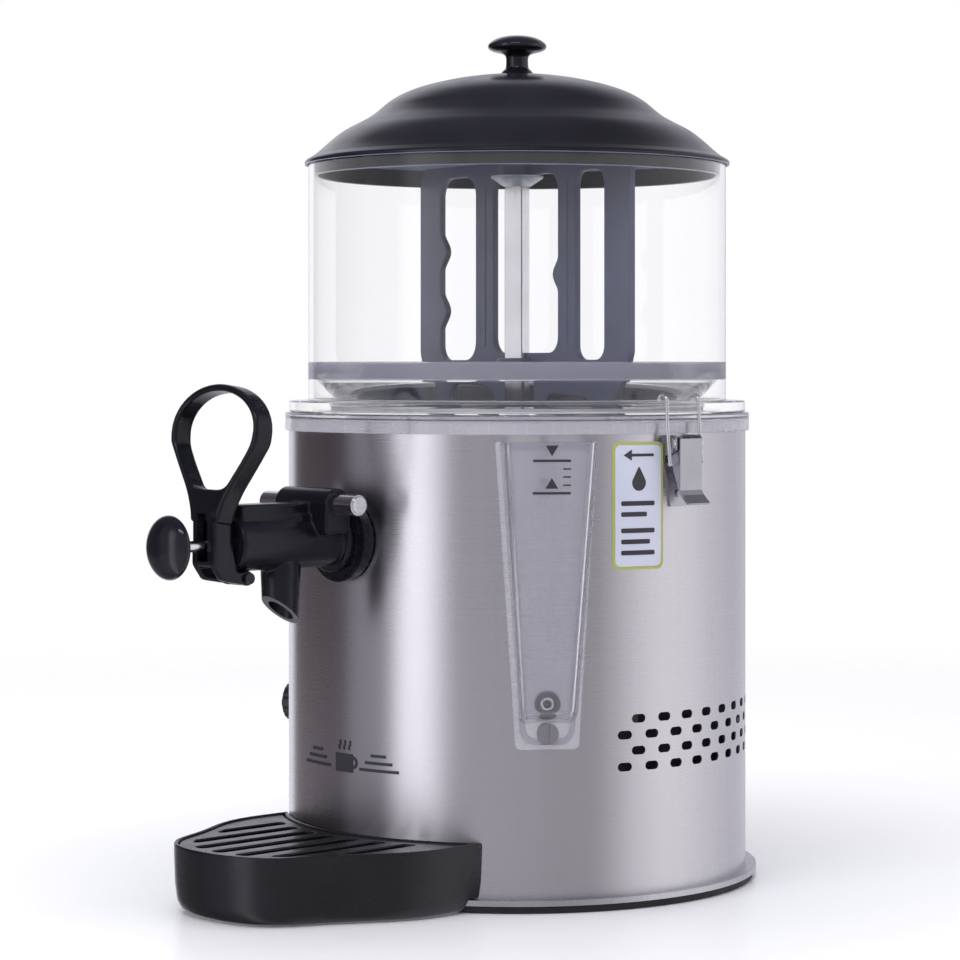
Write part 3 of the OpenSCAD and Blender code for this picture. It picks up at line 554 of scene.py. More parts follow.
MAT = {
    "casing": casing_steel("casing_brushed"),
    "sheet": metal("sheet_steel", (0.55, 0.55, 0.57), (0.25, 0.4), "O", 0.0, 500),
    "pot": metal("pot_steel", (0.6, 0.6, 0.62), (0.12, 0.22), "Z", 0.0, 900),
    "bright_x": metal("bright_turned_x", (0.72, 0.71, 0.73), (0.16, 0.26), "O", 0.0, 900),
    "bright_z": metal("bright_tube", (0.66, 0.65, 0.69), (0.1, 0.18), "Z", 0.0, 1600),
    "latch": metal("latch_pressed", (0.43, 0.425, 0.45), (0.2, 0.28), "Z", 0.0, 700, 0.05),
    "screw": metal("screw_head", (0.42, 0.41, 0.43), (0.28, 0.4), "O", 0.0, 900, 0.08),
    "wire": metal("latch_wire", (0.7, 0.7, 0.72), (0.12, 0.2), "O", 0.0, 900),
    "heater": metal("heater_sheath", (0.36, 0.34, 0.33), (0.35, 0.5), "O"),
    "motor": plastic("motor_paint", (0.11, 0.115, 0.125), (0.35, 0.5), 900, 0.3),
    "bakelite": plastic("bakelite", (0.55, 0.51, 0.42), (0.4, 0.55), 1500, 0.3),
    "bush": plastic("bush_plastic", (0.72, 0.7, 0.62), (0.35, 0.45), 1500, 0.2),
    "rubber": plastic("rubber", (0.018, 0.018, 0.02), (0.55, 0.7), 1300, 0.5, 0.35),
    "gasket": plastic("port_rubber", (0.07, 0.07, 0.085), (0.5, 0.65), 1300, 0.4, 0.35),
    "silicone": plastic("silicone", (0.45, 0.45, 0.44), (0.45, 0.6), 1300, 0.2, 0.4),
    "slate": plastic("stirrer_slate", (0.052, 0.06, 0.112), (0.36, 0.48), 1400, 0.3, 0.5, 0.15),
    "lid": plastic("lid_black", (0.0105, 0.0102, 0.0145), (0.17, 0.24), 2600, 0.12, 0.36, 0.2, 0.0, wear=0.15),
    "knob": plastic("knob_black", (0.008, 0.008, 0.0125), (0.13, 0.2), 2600, 0.08, 0.33, 0.2, 0.2),
    "tap": plastic("tap_black", (0.006, 0.006, 0.0095), (0.17, 0.25), 1900, 0.1, 0.27, 0.2, 0.0, wear=0.2),
    "tray": plastic("tray_black", (0.0078, 0.0074, 0.0095), (0.22, 0.3), 1700, 0.2, 0.36, 0.2, 0.0, wear=0.15),
    "dial": plastic("dial_black", (0.013, 0.013, 0.015), (0.3, 0.4), 1700, 0.25),
    "rocker": plastic("rocker_red", (0.3, 0.02, 0.014), (0.15, 0.22), 1700, 0.1, 0.5, 0.1, 0.4),
    "ink": plastic("ink", (0.035, 0.034, 0.042), (0.4, 0.5), 2600, 0.1, 0.4, 0.25),
    "border": plastic("label_border", (0.44, 0.48, 0.14), (0.3, 0.4), 2600, 0.05, 0.5, 0.06),
    "paper": plastic("label_panel", (0.66, 0.68, 0.8), (0.3, 0.4), 2600, 0.05, 0.5, 0.03),
    "white": plastic("dial_mark", (0.7, 0.7, 0.68), (0.4, 0.5), 2600, 0.1, 0.4, 0.1),
    "bowl": clear("bowl_clear", (0.985, 0.985, 0.997), 0.015, 1.36),
    "collar": clear("collar_clear", (0.93, 0.93, 0.965), 0.06),
    "gauge": clear("pocket_clear", (0.9, 0.895, 0.925), 0.22, 1.4),
    "hub": clear("cone_frosted", (0.62, 0.64, 0.7), 0.3),
}
# painted reflection: paler bluish base colour on the lid's down-facing faces, in place of reflected light
painted_underside_reflection(MAT["lid"], (0.2, 0.23, 0.36))
# painted light: grey band on the bowl's thick ledge that stands in for the light the clear ledge refracts
grey_diffuse_band(MAT["bowl"], 281.5, 290.2, (0.52, 0.52, 0.6), 0.5)
# painted light: grey band on the collar ring that stands in for the light the thick clear ring refracts
grey_diffuse_band(MAT["collar"], 252.0, 263.0, (0.6, 0.6, 0.68), 0.12)
grey_diffuse_band(MAT["gauge"], 85.0, 250.0, (0.6, 0.59, 0.65), 0.05)
NODE_MAT = {
    "foot_ring": "rubber", "base_plate": "sheet", "base_screws": "bright_x", "casing": "casing", "water_tank": "sheet",
    "heating_element": "heater", "safety_thermostat": "bakelite", "inner_pot": "pot", "outlet_tube": "pot",
    "center_tube": "bright_z", "gearmotor": "motor", "motor_bracket": "sheet", "drive_shaft": "bright_z",
    "shaft_bushes": "bush", "top_collar": "collar", "bowl_gasket": "silicone", "bowl": "bowl", "stirrer_hub": "hub",
    "stirrer_paddle": "slate", "paddle_nut": "bright_x", "lid": "lid", "lid_knob": "knob", "lid_screw": "bright_x",
    "water_gauge": "gauge", "gauge_gasket": "gasket", "gauge_screw": "screw", "gauge_marks": "ink", "gauge_tube": "pot",
    "label": "border", "label_print": "paper", "emblem": "ink", "tap_gasket": "silicone", "tap_flange": "tap",
    "tap_body": "tap", "tap_piston": "bush", "piston_orings": "rubber", "tap_rod": "bright_x", "rod_pin": "tap",
    "tap_spring": "bright_x", "tap_handle": "tap", "handle_pin": "tap", "tap_knob": "knob", "lock_pin": "bright_x",
    "drip_tray": "tray", "drip_grate": "tray", "thermostat_body": "bakelite", "thermostat_knob": "dial",
    "switch_housing": "dial", "switch_rocker": "rocker", "terminal_block": "bakelite", "cable_gland": "dial",
}
for s in ("right", "left"):
    NODE_MAT[s + "_latch_base"] = "latch"
    NODE_MAT[s + "_latch_pin"] = "bright_x"
    NODE_MAT[s + "_latch_lever"] = "latch"
    NODE_MAT[s + "_latch_bail"] = "wire"

for n, ob in frame["nodes"].items():
    mt = MAT[NODE_MAT[n]]
    if not ob.material_slots:
        ob.data.materials.append(mt)
    for sl in ob.material_slots:
        sl.material = mt


def soften(node, width, seg=2, angle=40):
    """Rounds the edges of a carried-over node."""
    md = frame["nodes"][node].modifiers.new("soft", "BEVEL")
    md.width = width * M
    md.segments = seg
    md.limit_method = "ANGLE"
    md.angle_limit = math.radians(angle)
    md.use_clamp_overlap = True
    md.harden_normals = False


# ------------------------------------------------------------------ lid
def mm(pts):
    return [(a * M, b * M) for a, b in pts]


lid_top = spline(
    [(3.05, 455), (6.3, 454.8), (20, 453.9), (30, 452.6), (37.7, 451.3), (48, 449), (56.5, 446.6), (63.5, 444),
     (69.1, 441.2), (74.5, 437.6), (79.4, 433.4), (84.5, 429.6), (91.6, 425.7), (97, 422.9), (101.5, 420),
     (106.5, 416), (112.5, 410.6), (116.5, 407.4)], 5)
lid_rim = fillet(
    [(116.5, 407.4), (120.1, 405.4), (121, 404.4), (121, 402.6), (119.5, 402.6), (119.5, 404), (115.5, 404), (115.5, 396),
     (113.5, 396), (113.5, 406.2)], [0, 1.2, 0.8, 0.5, 0.4, 0.3, 0.5, 0.6, 0.6, 0], 4, closed=False)
lid_low = spline(
    [(113.5, 406.2), (111, 408.4), (105, 413.8), (99.8, 418), (90.3, 423.3), (83.2, 427.2), (78, 431.3), (73, 435.6),
     (67.8, 439), (62.5, 441.6), (55.8, 444.1), (47.5, 446.5), (37.3, 448.8), (29.7, 450.1), (19.7, 451.4), (3.05, 452.4)], 4)
piece("lid_shell", revolve("lid_shell", mm(lid_top[:-1] + lid_rim + lid_low[1:]), 256, True, 32), "lid", MAT["lid"])

knob = spline(
    [(9.4, 455.1), (8.4, 456.7), (6.9, 458.2), (6.4, 460), (6.4, 464.2), (7.4, 466), (9.8, 467.1), (13.6, 468), (16.0, 469.2),
     (16.75, 470.8), (16.2, 472.3), (14, 474.1), (10.5, 475.7), (6, 476.7), (2.4, 476.95)], 5) + [(0, 476.98)]
piece("lid_knob_turned", revolve("lid_knob_turned", mm([(0, 455.05), (9.1, 455.05)] + knob), 96, False, 40), "lid_knob", MAT["knob"])

# ------------------------------------------------------------------ bowl and collar
bowl_prof = fillet(
    [(116.5, 262.5), (129, 262.5), (129.7, 263.2), (129.7, 268.3), (129, 269), (119, 269), (119, 404), (116, 404), (116, 290.2),
     (111.4, 280.5), (98.3, 269), (95.5, 265.5), (107, 265.5), (107, 268.2), (102.5, 268.2), (115.2, 281.7), (116.5, 281.7)],
    [0.4, 0.5, 0.4, 0.4, 0.5, 1.2, 0.7, 0.7, 3, 3, 1.5, 0.8, 0.6, 0.5, 0.8, 1, 0.6], 4)
piece("bowl_moulding", revolve("bowl_moulding", mm(bowl_prof), 288, True, 34), "bowl", MAT["bowl"])
collar_prof = fillet([(98, 262.45), (98, 259.25), (130, 259.25), (130, 252.3), (132, 252.3), (132, 262.45)], [0.6, 0.6, 0.4, 0.5, 0.6, 1.0], 4)
piece("collar_ring", revolve("collar_ring", mm(collar_prof), 288, True, 34), "top_collar", MAT["collar"])


# ------------------------------------------------------------------ stirrer
def bumped(x0, x1, z0, z1, r, bumps, side):
    """Rounded window whose left (-1) or right (1) edge carries half round bumps (centre z, how far in, half height)."""
    e = x0 if side < 0 else x1
    edge = []
    for zc, depth, half in sorted(bumps):
        n = 14
        for k in range(n + 1):
            t = -1 + 2 * k / n
            edge.append((e - side * depth * (0.5 + 0.5 * math.cos(math.pi * t)) ** 0.7, zc + half * t))
    if side < 0:
        pts = [(x0, z0), (x1, z0), (x1, z1), (x0, z1)] + edge[::-1]
        rr = [r] * 4 + [0] * len(edge)
    else:
        pts = [(x0, z0), (x1, z0)] + edge + [(x1, z1), (x0, z1)]
        rr = [r, r] + [0] * len(edge) + [r, r]
    return fillet(pts, rr, 8)


pw = 104
outline = fillet(
    [(-80, 188), (80, 188), (88, 196), (88, 262), (89, 269), (99, 281.7), (pw - 2, 290), (pw, 296), (pw, 400), (pw - 6, 406),
     (-pw + 6, 406), (-pw, 400), (-pw, 296), (-pw + 2, 290), (-99, 281.7), (-89, 269), (-88, 262), (-88, 196)],
    [3, 3, 3, 8, 8, 8, 8, 8, 3, 3, 3, 3, 8, 8, 8, 8, 8, 3], 4)
holes = [
    bumped(-81.4, -44.5, 292, 399, 11, [(321, 6.2, 10.5), (356, 6.2, 10.5)], -1),
    bumped(-26, 37.3, 296, 397, 9, [(340, 5.0, 9.5)], 1),
    rrect(54.4, 80.5, 292, 397, 8, 8),
    rrect(-14, 14, 240, 281, 4, 6), rrect(-14, 14, 194, 234, 4, 6),
    rrect(-72, -24, 200, 268, 10, 8), rrect(24, 72, 200, 268, 10, 8),
]
blade = plate("blade", [outline] + [h[::-1] for h in holes], 4, 0.9, 2)
blade = move(blade, Matrix.Translation((0, 3.3 * M, 0)) @ Matrix.Rotation(math.pi / 2, 4, "X"))
ribs = []
for u, w in ((-35.2, 3.2), (45.8, 3.2)):
    ribs.append(rbox("rib", (u - w / 2, 0.9, 300), (u + w / 2, 5.7, 393), 0.5, 2))
sleeves = [
    rcyl("s", 10, 397, 406, 0.8, 72, 4.02), rcyl("s", 11.5, 281, 293, 1.0, 72, 7.6),
    rcyl("s", 11.5, 188, 194, 0.8, 72, 7.6), rcyl("s", 11.5, 234, 240, 0.8, 72, 7.6),
]
for r0, z0, z1 in ((7.65, 281, 293), (7.65, 188, 194), (7.65, 234, 240)):
    bore = rcyl("b", r0, z0 - 12, z1 + 12, 0.1, 72)
    blade = boolean(blade, bore, angle=32)
blade = boolean(blade, rcyl("b", 4.05, 395.5, 410, 0.1, 48), angle=32)
frame_me = join("stirrer_frame", [blade] + ribs + sleeves)
move(frame_me, rot_z(-9))
piece("stirrer_frame", frame_me, "stirrer_paddle", MAT["slate"])

hub_prof = [(4.02, 391)] + fillet([(4.02, 391), (8, 391), (15, 395.7), (15, 396.9), (4.02, 396.9)], [0, 0.6, 0.5, 0.4, 0], 3)[1:-1] + [(4.02, 396.9)]
piece("drive_cone", revolve("drive_cone", mm(hub_prof), 96, True, 32), "stirrer_hub", MAT["hub"])


# ------------------------------------------------------------------ water pocket
def pocket_ring(z, w, front, r, back):
    """U-shaped section at height z: half width w, front at radius front, corner radius r, back on radius back."""
    n = 7
    xb = math.sqrt(max(back * back - w * w, 1))
    pts = [(xb, -w)]
    for k in range(1, 5):
        pts.append((xb + (front - r - xb) * k / 5, -w))
    for k in range(n + 1):
        a = -math.pi / 2 + math.pi / 2 * k / n
        pts.append((front - r + r * math.cos(a), -w + r + r * math.sin(a)))
    for k in range(1, 8):
        pts.append((front, -w + r + (2 * w - 2 * r) * k / 8))
    for k in range(n + 1):
        a = math.pi / 2 * k / n
        pts.append((front - r + r * math.cos(a), w - r + r * math.sin(a)))
    for k in range(4, 0, -1):
        pts.append((xb + (front - r - xb) * k / 5, w))
    pts.append((xb, w))
    m = 12
    for k in range(1, m):
        y = w - 2 * w * k / m
        pts.append((math.sqrt(back * back - y * y), y))
    return [(x * M, y * M, z * M) for x, y in pts]


def p_front(z):
    if z <= 100:
        return 133.0
    if z <= 106:
        t = (z - 100) / 6
        t = t * t * (3 - 2 * t)
        return 133 + 7 * t
    return 140 + (z - 106) * (10 / 142.4)


def p_half(z):
    return 14.5 + max(0, z - 92.5) / 155.9 * 10.5


outer, inner = [], []
for z in [88.6, 88.8, 89.4, 90.4, 92, 94.5, 97.5] + [100 + k * 0.75 for k in range(9)] + [112, 130, 160, 190, 220, 240, 246.5, 247.7, 248.2, 248.38]:
    dz = max(0, 97.0 - z) / 8.4
    cut = 6.5 * (1 - math.sqrt(max(0, 1 - dz * dz)))
    top = max(0, z - 247.4) / 1.0
    e = 0.55 * (1 - math.sqrt(max(0, 1 - min(1, top) ** 2)))
    low = max(0, 90 - z)
    outer.append(pocket_ring(z, p_half(z) - cut - e, p_front(z) - e - low * 0.5, min(3.2, (p_front(z) - 130.4) * 0.9), 130.25))
for z in [248.38, 248.2, 247.7, 246.5, 240, 220, 190, 160, 130, 112, 108, 106, 104.6, 103.6, 103.0]:
    top = max(0, z - 247.4) / 1.0
    e = 0.55 * (1 - math.sqrt(max(0, 1 - min(1, top) ** 2)))
    bot = max(0, 108 - z)
    w = p_half(z) - 2.2 + e - bot * bot * 0.05
    f = 137.8 + (z - 106.5) * (10 / 143.5) + e if z >= 106.5 else 133.2 + (z - 102.9) * (4.6 / 3.6)
    inner.append(pocket_ring(z, w, f, min(2.2, (f - 131.0) * 0.8), 130.3))
shell = loft("pocket", outer + inner, True, True, False, 34)


def bent_plate(loops, r0, t, bevel, du=2.0):
    """Plate from loops (tangent, z) laid on a cylinder of radius r0, thickness t."""
    me = plate("bent", loops, t, bevel, 2)
    bm = bmesh.new()
    bm.from_mesh(me)
    for _ in range(3):
        long = [e for e in bm.edges if abs(e.verts[0].co.x - e.verts[1].co.x) > du * M]
        if not long:
            break
        bmesh.ops.subdivide_edges(bm, edges=long, cuts=1, use_grid_fill=False)
    bmesh.ops.triangulate(bm, faces=[f for f in bm.faces if len(f.verts) > 4])
    for v in bm.verts:
        u, z, h = v.co
        r = (r0 + t / 2) * M + h
        a = u / (r0 * M)
        v.co = (r * math.cos(a), r * math.sin(a), z)
    bm.to_mesh(me)
    bm.free()
    return finish_mesh(me, 34)


def dense(loop, step=3.0):
    out = []
    for i, p in enumerate(loop):
        q = loop[(i + 1) % len(loop)]
        n = max(1, int(math.hypot(q[0] - p[0], q[1] - p[1]) / step))
        out += [(p[0] + (q[0] - p[0]) * k / n, p[1] + (q[1] - p[1]) * k / n) for k in range(n)]
    return out


flange_out = fillet([(-17, 86), (17, 86), (17.2, 92.5), (27.5, 248.3), (-27.5, 248.3), (-17.2, 92.5)], [6, 6, 8, 1.2, 1.2, 8], 8)
flange_in = fillet([(-11, 92.0), (11, 92.0), (22.6, 244.0), (-22.6, 244.0)], [5, 5, 3, 3], 8)
flange_me = bent_plate([dense(flange_out), dense(flange_in)[::-1]], 130.05, 1.35, 0.35)
gauge_me = join("filling_pocket", [shell, flange_me])
piece("filling_pocket", move(gauge_me, rot_z(-37)), "water_gauge", MAT["gauge"])


# ------------------------------------------------------------------ tap
def ycyl(name, r, y0, y1, z, ch=0.6, seg=72, bore=0.0, r2=None):
    """Cylinder along -Y from y0 to y1."""
    return along(rcyl(name, r, 0, y0 - y1, ch, seg, bore, r2), (0, y0, z), (0, -1, 0))


def xcyl(name, r, length, y, z, ch=0.6, seg=64):
    return along(rcyl(name, r, 0, length, ch, seg), (-length / 2, y, z), (1, 0, 0))


TZ = 195
body_me = join("tap_parts", [
    ycyl("a", 14.3, -137.02, -210, TZ, 1.8), ycyl("a", 17.5, -137.02, -142, TZ, 1.4),
    rbox("a", (-7.5, -207, 196), (7.5, -147, 216), 1.6, 3), rbox("a", (-9.5, -170, 196), (9.5, -140.2, 210), 1.6, 3),
    xcyl("a", 8.6, 44, -152.5, 215, 1.4), rbox("a", (-22, -161.1, 199), (22, -143.9, 214.5), 2.2, 3),
    along(rcyl("a", 9.4, 0, 44, 0.5, 72, 0, 11.2), (0, -174.5, 148), (0, 0, 1)),
    rbox("a", (-5, -207.9, 177.6), (5, -200.1, 187), 0.6, 2), xcyl("a", 3.9, 10, -204, 177.6, 0.6),
])
body_me = remeshed(body_me, 0.62, 5, 0.5)
for cutter in (
    ycyl("c", 9.5, -130, -152.0, TZ, 0.05), ycyl("c", 9.5, -151.9, -206, TZ, 0.05), ycyl("c", 3.05, -200, -216, TZ, 0.05),
    along(rcyl("c", 6.5, 0, 50, 0.05, 64), (0, -174.5, 139), (0, 0, 1)),
    xcyl("c", 5.65, 60, -152.5, 215, 0.05), xcyl("c", 2.0, 30, -204, 177.6, 0.05),
):
    body_me = boolean(body_me, cutter, angle=42)
wedge = mesh("c", [(x * M, y * M, z * M) for x in (-20, 20) for y, z in ((-190, 171), (-160, 147.5), (-160, 130), (-195, 130))],
             [(0, 1, 2, 3), (7, 6, 5, 4), (0, 4, 5, 1), (1, 5, 6, 2), (2, 6, 7, 3), (3, 7, 4, 0)])
body_me = boolean(body_me, wedge, angle=42)
piece("tap_barrel", body_me, "tap_body", MAT["tap"])

# handle: fork, stem and loop
LEAN = Matrix.Translation((0, -214 * M, 214 * M)) @ Matrix.Rotation(math.radians(-8), 4, "X") @ Matrix.Translation((0, 0, -214 * M))
def half_ellipse(rx, ry, cz, n=28):
    return [(rx * math.cos(math.pi * k / n), cz + ry * math.sin(math.pi * k / n)) for k in range(n + 1)]


side = [(35.2, 247.5), (31, 241), (24.6, 232), (17.5, 222), (13, 213), (11, 206)]
arc = half_ellipse(35.9, 24.9, 253.5)
lo_out = arc + spline([arc[-1]] + [(-x, z) for x, z in side], 4)[1:] + spline([(x, z) for x, z in side[::-1]] + [arc[0]], 4)[:-1]
side = [(30.9, 247.5), (26.4, 240), (19.6, 231), (14.8, 225.4), (9, 223.3), (0, 223.2)]
arc = half_ellipse(32, 20.5, 254)
lo_in = arc + spline([arc[-1]] + [(-x, z) for x, z in side[:-1]] + side[::-1] + [arc[0]], 4)[1:-1]
loop_me = plate("loop", [lo_out, lo_in[::-1]], 12, 2.0, 4)
loop_me = move(loop_me, LEAN @ Matrix.Translation((0, -6 * M, 0)) @ Matrix.Rotation(math.pi / 2, 4, "X"))
ear_2d = fillet([(-204, 174.0), (-221, 176.9), (-226.9, 185), (-226.9, 196), (-214.1, 196), (-211.5, 184), (-210.9, 181), (-204, 181)],
                [0, 4, 4, 0, 0, 4, 2, 0], 5)
ears = []
for s in (-1, 1):
    ear = plate("ear", [ear_2d], 4, 0.9, 2)
    ear = move(ear, Matrix.Translation((s * 7.3 * M, 0, 0)) @ Matrix(((0, 0, 1, 0), (1, 0, 0, 0), (0, 1, 0, 0), (0, 0, 0, 1))))
    ears += [ear, along(rcyl("e", 3.95, 0, 4, 0.6, 56), (s * 7.3 - 2, -204, 177.6), (1, 0, 0))]
stem = rbox("stem", (-9.5, -227, 184), (9.5, -214, 214), 2.4, 4)
handle_me = remeshed(join("handle", [loop_me, stem] + ears), 0.6, 4, 0.5)
for cutter in (
    xcyl("c", 2.06, 40, -204, 177.6, 0.02),
    rbox("c", (-4.2, -240, 187), (4.2, -208, 212), 0.3, 1),
    rbox("c", (-7.4, -222.85, 193.1), (7.4, -218.15, 208.1), 0.2, 1),
):
    handle_me = boolean(handle_me, cutter, angle=42)
piece("loop_handle", handle_me, "tap_handle", MAT["tap"])

knob2 = spline([(5, 244.1), (5.4, 245.2), (7.4, 246.0), (12.5, 246.15), (15.4, 246.6), (16.7, 248.2), (16.2, 250.4), (14, 252.8), (10.5, 254.9),
                (6, 256.2), (2.2, 256.55)], 5) + [(0, 256.58)]
piece("rod_knob", along(revolve("rod_knob", mm([(0, 244), (4.6, 244)] + knob2), 96, False, 40), (0, 0, 195), (0, -1, 0)), "tap_knob", MAT["knob"])

pin_prof = fillet([(0, -39), (4.9, -39), (4.9, -38), (5.6, -38), (5.6, 38), (4.9, 38), (4.9, 39), (0, 39)], [0, 0.5, 0.15, 0.5, 0.5, 0.15, 0.5, 0], 3)
piece("barrel_pin", along(revolve("barrel_pin", mm(pin_prof), 72, False, 32), (0, -152.5, 215), (1, 0, 0)), "lock_pin", MAT["bright_x"])

# wound return spring, pressed together by the piston
turns, per = 5.5, 30
rings = []
for i in range(int(turns * per) + 1):
    t = i / (turns * per)
    a = TAU * turns * t
    rest = min(max((t - 0.14) / 0.72, 0), 1)
    y = -187.1 - 1.6 * min(t / 0.14, 1) - 14.6 * rest - 1.6 * max((t - 0.86) / 0.14, 0)
    rings.append([((6.2 + 0.75 * math.cos(b)) * math.cos(a) * M, (y + 0.75 * math.sin(b)) * M,
                   (195 + (6.2 + 0.75 * math.cos(b)) * math.sin(a)) * M) for b in [TAU * k / 12 for k in range(12)]])
spring = piece("return_spring", loft("return_spring", rings), "tap_spring", MAT["bright_x"])
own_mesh(spring)

# ------------------------------------------------------------------ drip tray
TRAY = [(80, -128), (78.6, -140), (75, -152), (69.5, -163.5), (62.5, -175), (56, -186.5), (51.5, -196), (46.5, -206),
        (40, -214.5), (31, -221), (19, -225.4), (7, -227.3)]
tray_curve = spline([(80, -104), (80, -116)] + TRAY + [(-x, y) for x, y in TRAY[::-1]] + [(-80, -116), (-80, -104)], 5)


def tray_ring(g, back, z, nb=48):
    """Closed outline at height z, inset by g, closed behind on the radius back."""
    pts = []
    for i, p in enumerate(tray_curve):
        a, b = Vector(tray_curve[max(i - 1, 0)]), Vector(tray_curve[min(i + 1, len(tray_curve) - 1)])
        d = (b - a).normalized()
        n = Vector((d.y, -d.x))
        q = Vector(p) + n * g * (1 if n.dot(Vector((-p[0], -160 - p[1]))) > 0 else -1)
        pts.append(q)
    x = 80 - g
    y = -math.sqrt(back * back - x * x)
    pts[0], pts[-1] = Vector((x, y)), Vector((-x, y))
    for k in range(1, 5):
        t = k / 5
        pts[k] = Vector((x, y + (pts[5].y - y) * t))
        pts[-1 - k] = Vector((-x, y + (pts[-6].y - y) * t))
    a0 = math.atan2(y, -x)
    a1 = math.atan2(y, x)
    for k in range(1, nb):
        a = a0 + (a1 - a0) * k / nb
        pts.append(Vector((back * math.cos(a), back * math.sin(a))))
    return [(p[0] * M, p[1] * M, z * M) for p in pts]


levels = [(9.0, 137.2, 0.0), (6.6, 136.6, 0.35), (4.6, 136.4, 1.5), (3.1, 136.4, 3.4), (1.9, 136.4, 6.2), (1.7, 136.4, 7.6), (1.65, 130.8, 7.6),
          (1.5, 130.4, 8.0), (0.6, 130.4, 16), (0.2, 130.4, 28), (0.05, 130.4, 34.6), (0.1, 130.5, 35.8), (0.5, 130.8, 36.4), (1.0, 131.3, 36.5),
          (1.7, 131.8, 36.45), (2.2, 132.4, 36.0), (2.4, 132.9, 35.4), (2.4, 133.0, 33.0), (4.8, 135.2, 33.0), (5.2, 135.5, 32.4), (5.5, 135.8, 12),
          (7.5, 137.5, 7.6), (9.5, 140.5, 5.0), (13.0, 143.0, 3.2)]
tray_me = loft("tray_shell", [tray_ring(g, b, z) for g, b, z in levels], True, True, False, 40)
piece("tray_shell", tray_me, "drip_tray", MAT["tray"])

grate_out = [(x / M, y / M) for x, y, _ in tray_ring(2.9, 133.6, 0)]
lim = [(x / M, y / M) for x, y, _ in tray_ring(9.0, 139.0, 0, 8)][: len(tray_curve)]


def front_y(x):
    best = 0
    for (x0, y0), (x1, y1) in zip(lim[:-1], lim[1:]):
        if (x0 - x) * (x1 - x) <= 0 and abs(x0 - x1) > 1e-6:
            best = min(best, y0 + (y1 - y0) * (x - x0) / (x1 - x0))
    return best


slots = []
for i in range(-3, 4):
    xa, xb = i * 17.5 - 4.25, i * 17.5 + 4.25
    slots.append(fillet([(xa, front_y(xa)), (xb, front_y(xb)), (xb, -math.sqrt(139.0**2 - xb * xb)), (xa, -math.sqrt(139.0**2 - xa * xa))], 2.6, 6))
grate_me = plate("grate", [grate_out] + [s[::-1] for s in slots], 2.5, 0.8, 3)
piece("grate_bars", move(grate_me, Matrix.Translation((0, 0, 34.3 * M))), "drip_grate", MAT["tray"])

# ------------------------------------------------------------------ dial
rings = []
for z, r, depth in ((0, 12.9, 0), (0.3, 13.4, 0), (1.8, 13.5, 0), (2.2, 13.2, 0), (2.4, 12.2, 0.0), (3.2, 12.05, 0.55), (8, 11.6, 0.6), (12.4, 11.1, 0.55), (13.0, 10.7, 0.3), (13.3, 10.0, 0.0)):
    ring = []
    for i in range(144):
        a = TAU * i / 144
        rr = r - depth * (0.5 - 0.5 * math.cos(18 * a))
        ring.append((rr * math.cos(a) * M, rr * math.sin(a) * M, z * M))
    rings.append(ring)
dial = join("dial_grip", [loft("d", rings, True, True, False, 34), rbox("d", (-2, -11.2, 3), (2, 11.2, 13.3), 0.8, 2)])
dial = along(dial, (0, 0, 0), (1, 0, 0))
dial = move(dial, rot_z(-156) @ Matrix.Translation((131.2 * M, 0, 91.5 * M)))
piece("dial_grip", dial, "thermostat_knob", MAT["dial"])


# ------------------------------------------------------------------ printed marks
def print_on(name, loops_list, angle, r0, t, mat, node):
    meshes = [bent_plate([dense(lp, 1.5)], r0, t, t * 0.2, 1.6) for lp in loops_list]
    ob = piece(name, move(join(name, meshes), rot_z(angle)), node, mat, replaces=False)
    return ob


arrow = [(-9.5, 241), (-4.5, 244.0), (-4.5, 241.75), (9.5, 241.75), (9.5, 240.25), (-4.5, 240.25), (-4.5, 238)]
drop = circle(0, 226.2, 4.3, 24, -215, 35, True) + [(0.35, 234.6), (-0.35, 234.6)]
bars = [rrect(-11.5, 11.5, z, z + 2.2, 0.5, 3) for z in ()]
for z, w in ((214.0, 10.5), (208.2, 8.0), (199.5, 10.5), (193.6, 9.0), (187.7, 10.5)):
    bars.append(rrect(-11, -11 + 2 * w, z, z + 2.5, 0.8, 3))
print_on("plate_marks", [arrow, drop] + bars, -14.1, 130.5, 0.1, MAT["ink"], "label_print")

# ------------------------------------------------------------------ softened CAD pieces
for n, w in (("base_plate", 0.5), ("foot_ring", 0.6), ("tap_flange", 0.8), ("gauge_screw", 0.25), ("base_screws", 0.3),
             ("right_latch_base", 0.2), ("left_latch_base", 0.2), ("right_latch_lever", 0.25), ("left_latch_lever", 0.25),
             ("right_latch_pin", 0.3), ("left_latch_pin", 0.3), ("paddle_nut", 0.4), ("rod_pin", 0.3), ("handle_pin", 0.3),
             ("switch_housing", 0.5), ("switch_rocker", 0.5), ("cable_gland", 0.5), ("gearmotor", 0.8), ("terminal_block", 0.6),
             ("motor_bracket", 0.3), ("center_tube", 0.2), ("lid_screw", 0.3), ("thermostat_body", 0.6)):
    soften(n, w)

# ------------------------------------------------------------------ floor, sky, lamps, camera
scene = bpy.context.scene
fl = bpy.data.materials.new("floor_pale")
fl.use_nodes = True
nt = fl.node_tree
pb = nt.nodes["Principled BSDF"]
out = nt.nodes["Material Output"]
pb.inputs["Base Color"].default_value = (0.94, 0.94, 0.945, 1)
pb.inputs["Roughness"].default_value = 0.32
pb.inputs["Specular IOR Level"].default_value = 0.35
tc = add(nt, "ShaderNodeTexCoord")
ln = add(nt, "ShaderNodeVectorMath", operation="LENGTH")
nt.links.new(tc.outputs["Object"], ln.inputs[0])
mr = add(nt, "ShaderNodeMapRange", interpolation_type="SMOOTHSTEP")
mr.inputs["From Min"].default_value = 0.55
mr.inputs["From Max"].default_value = 1.5
nt.links.new(ln.outputs["Value"], mr.inputs["Value"])
pb.inputs["Emission Color"].default_value = (1, 1, 1, 1)
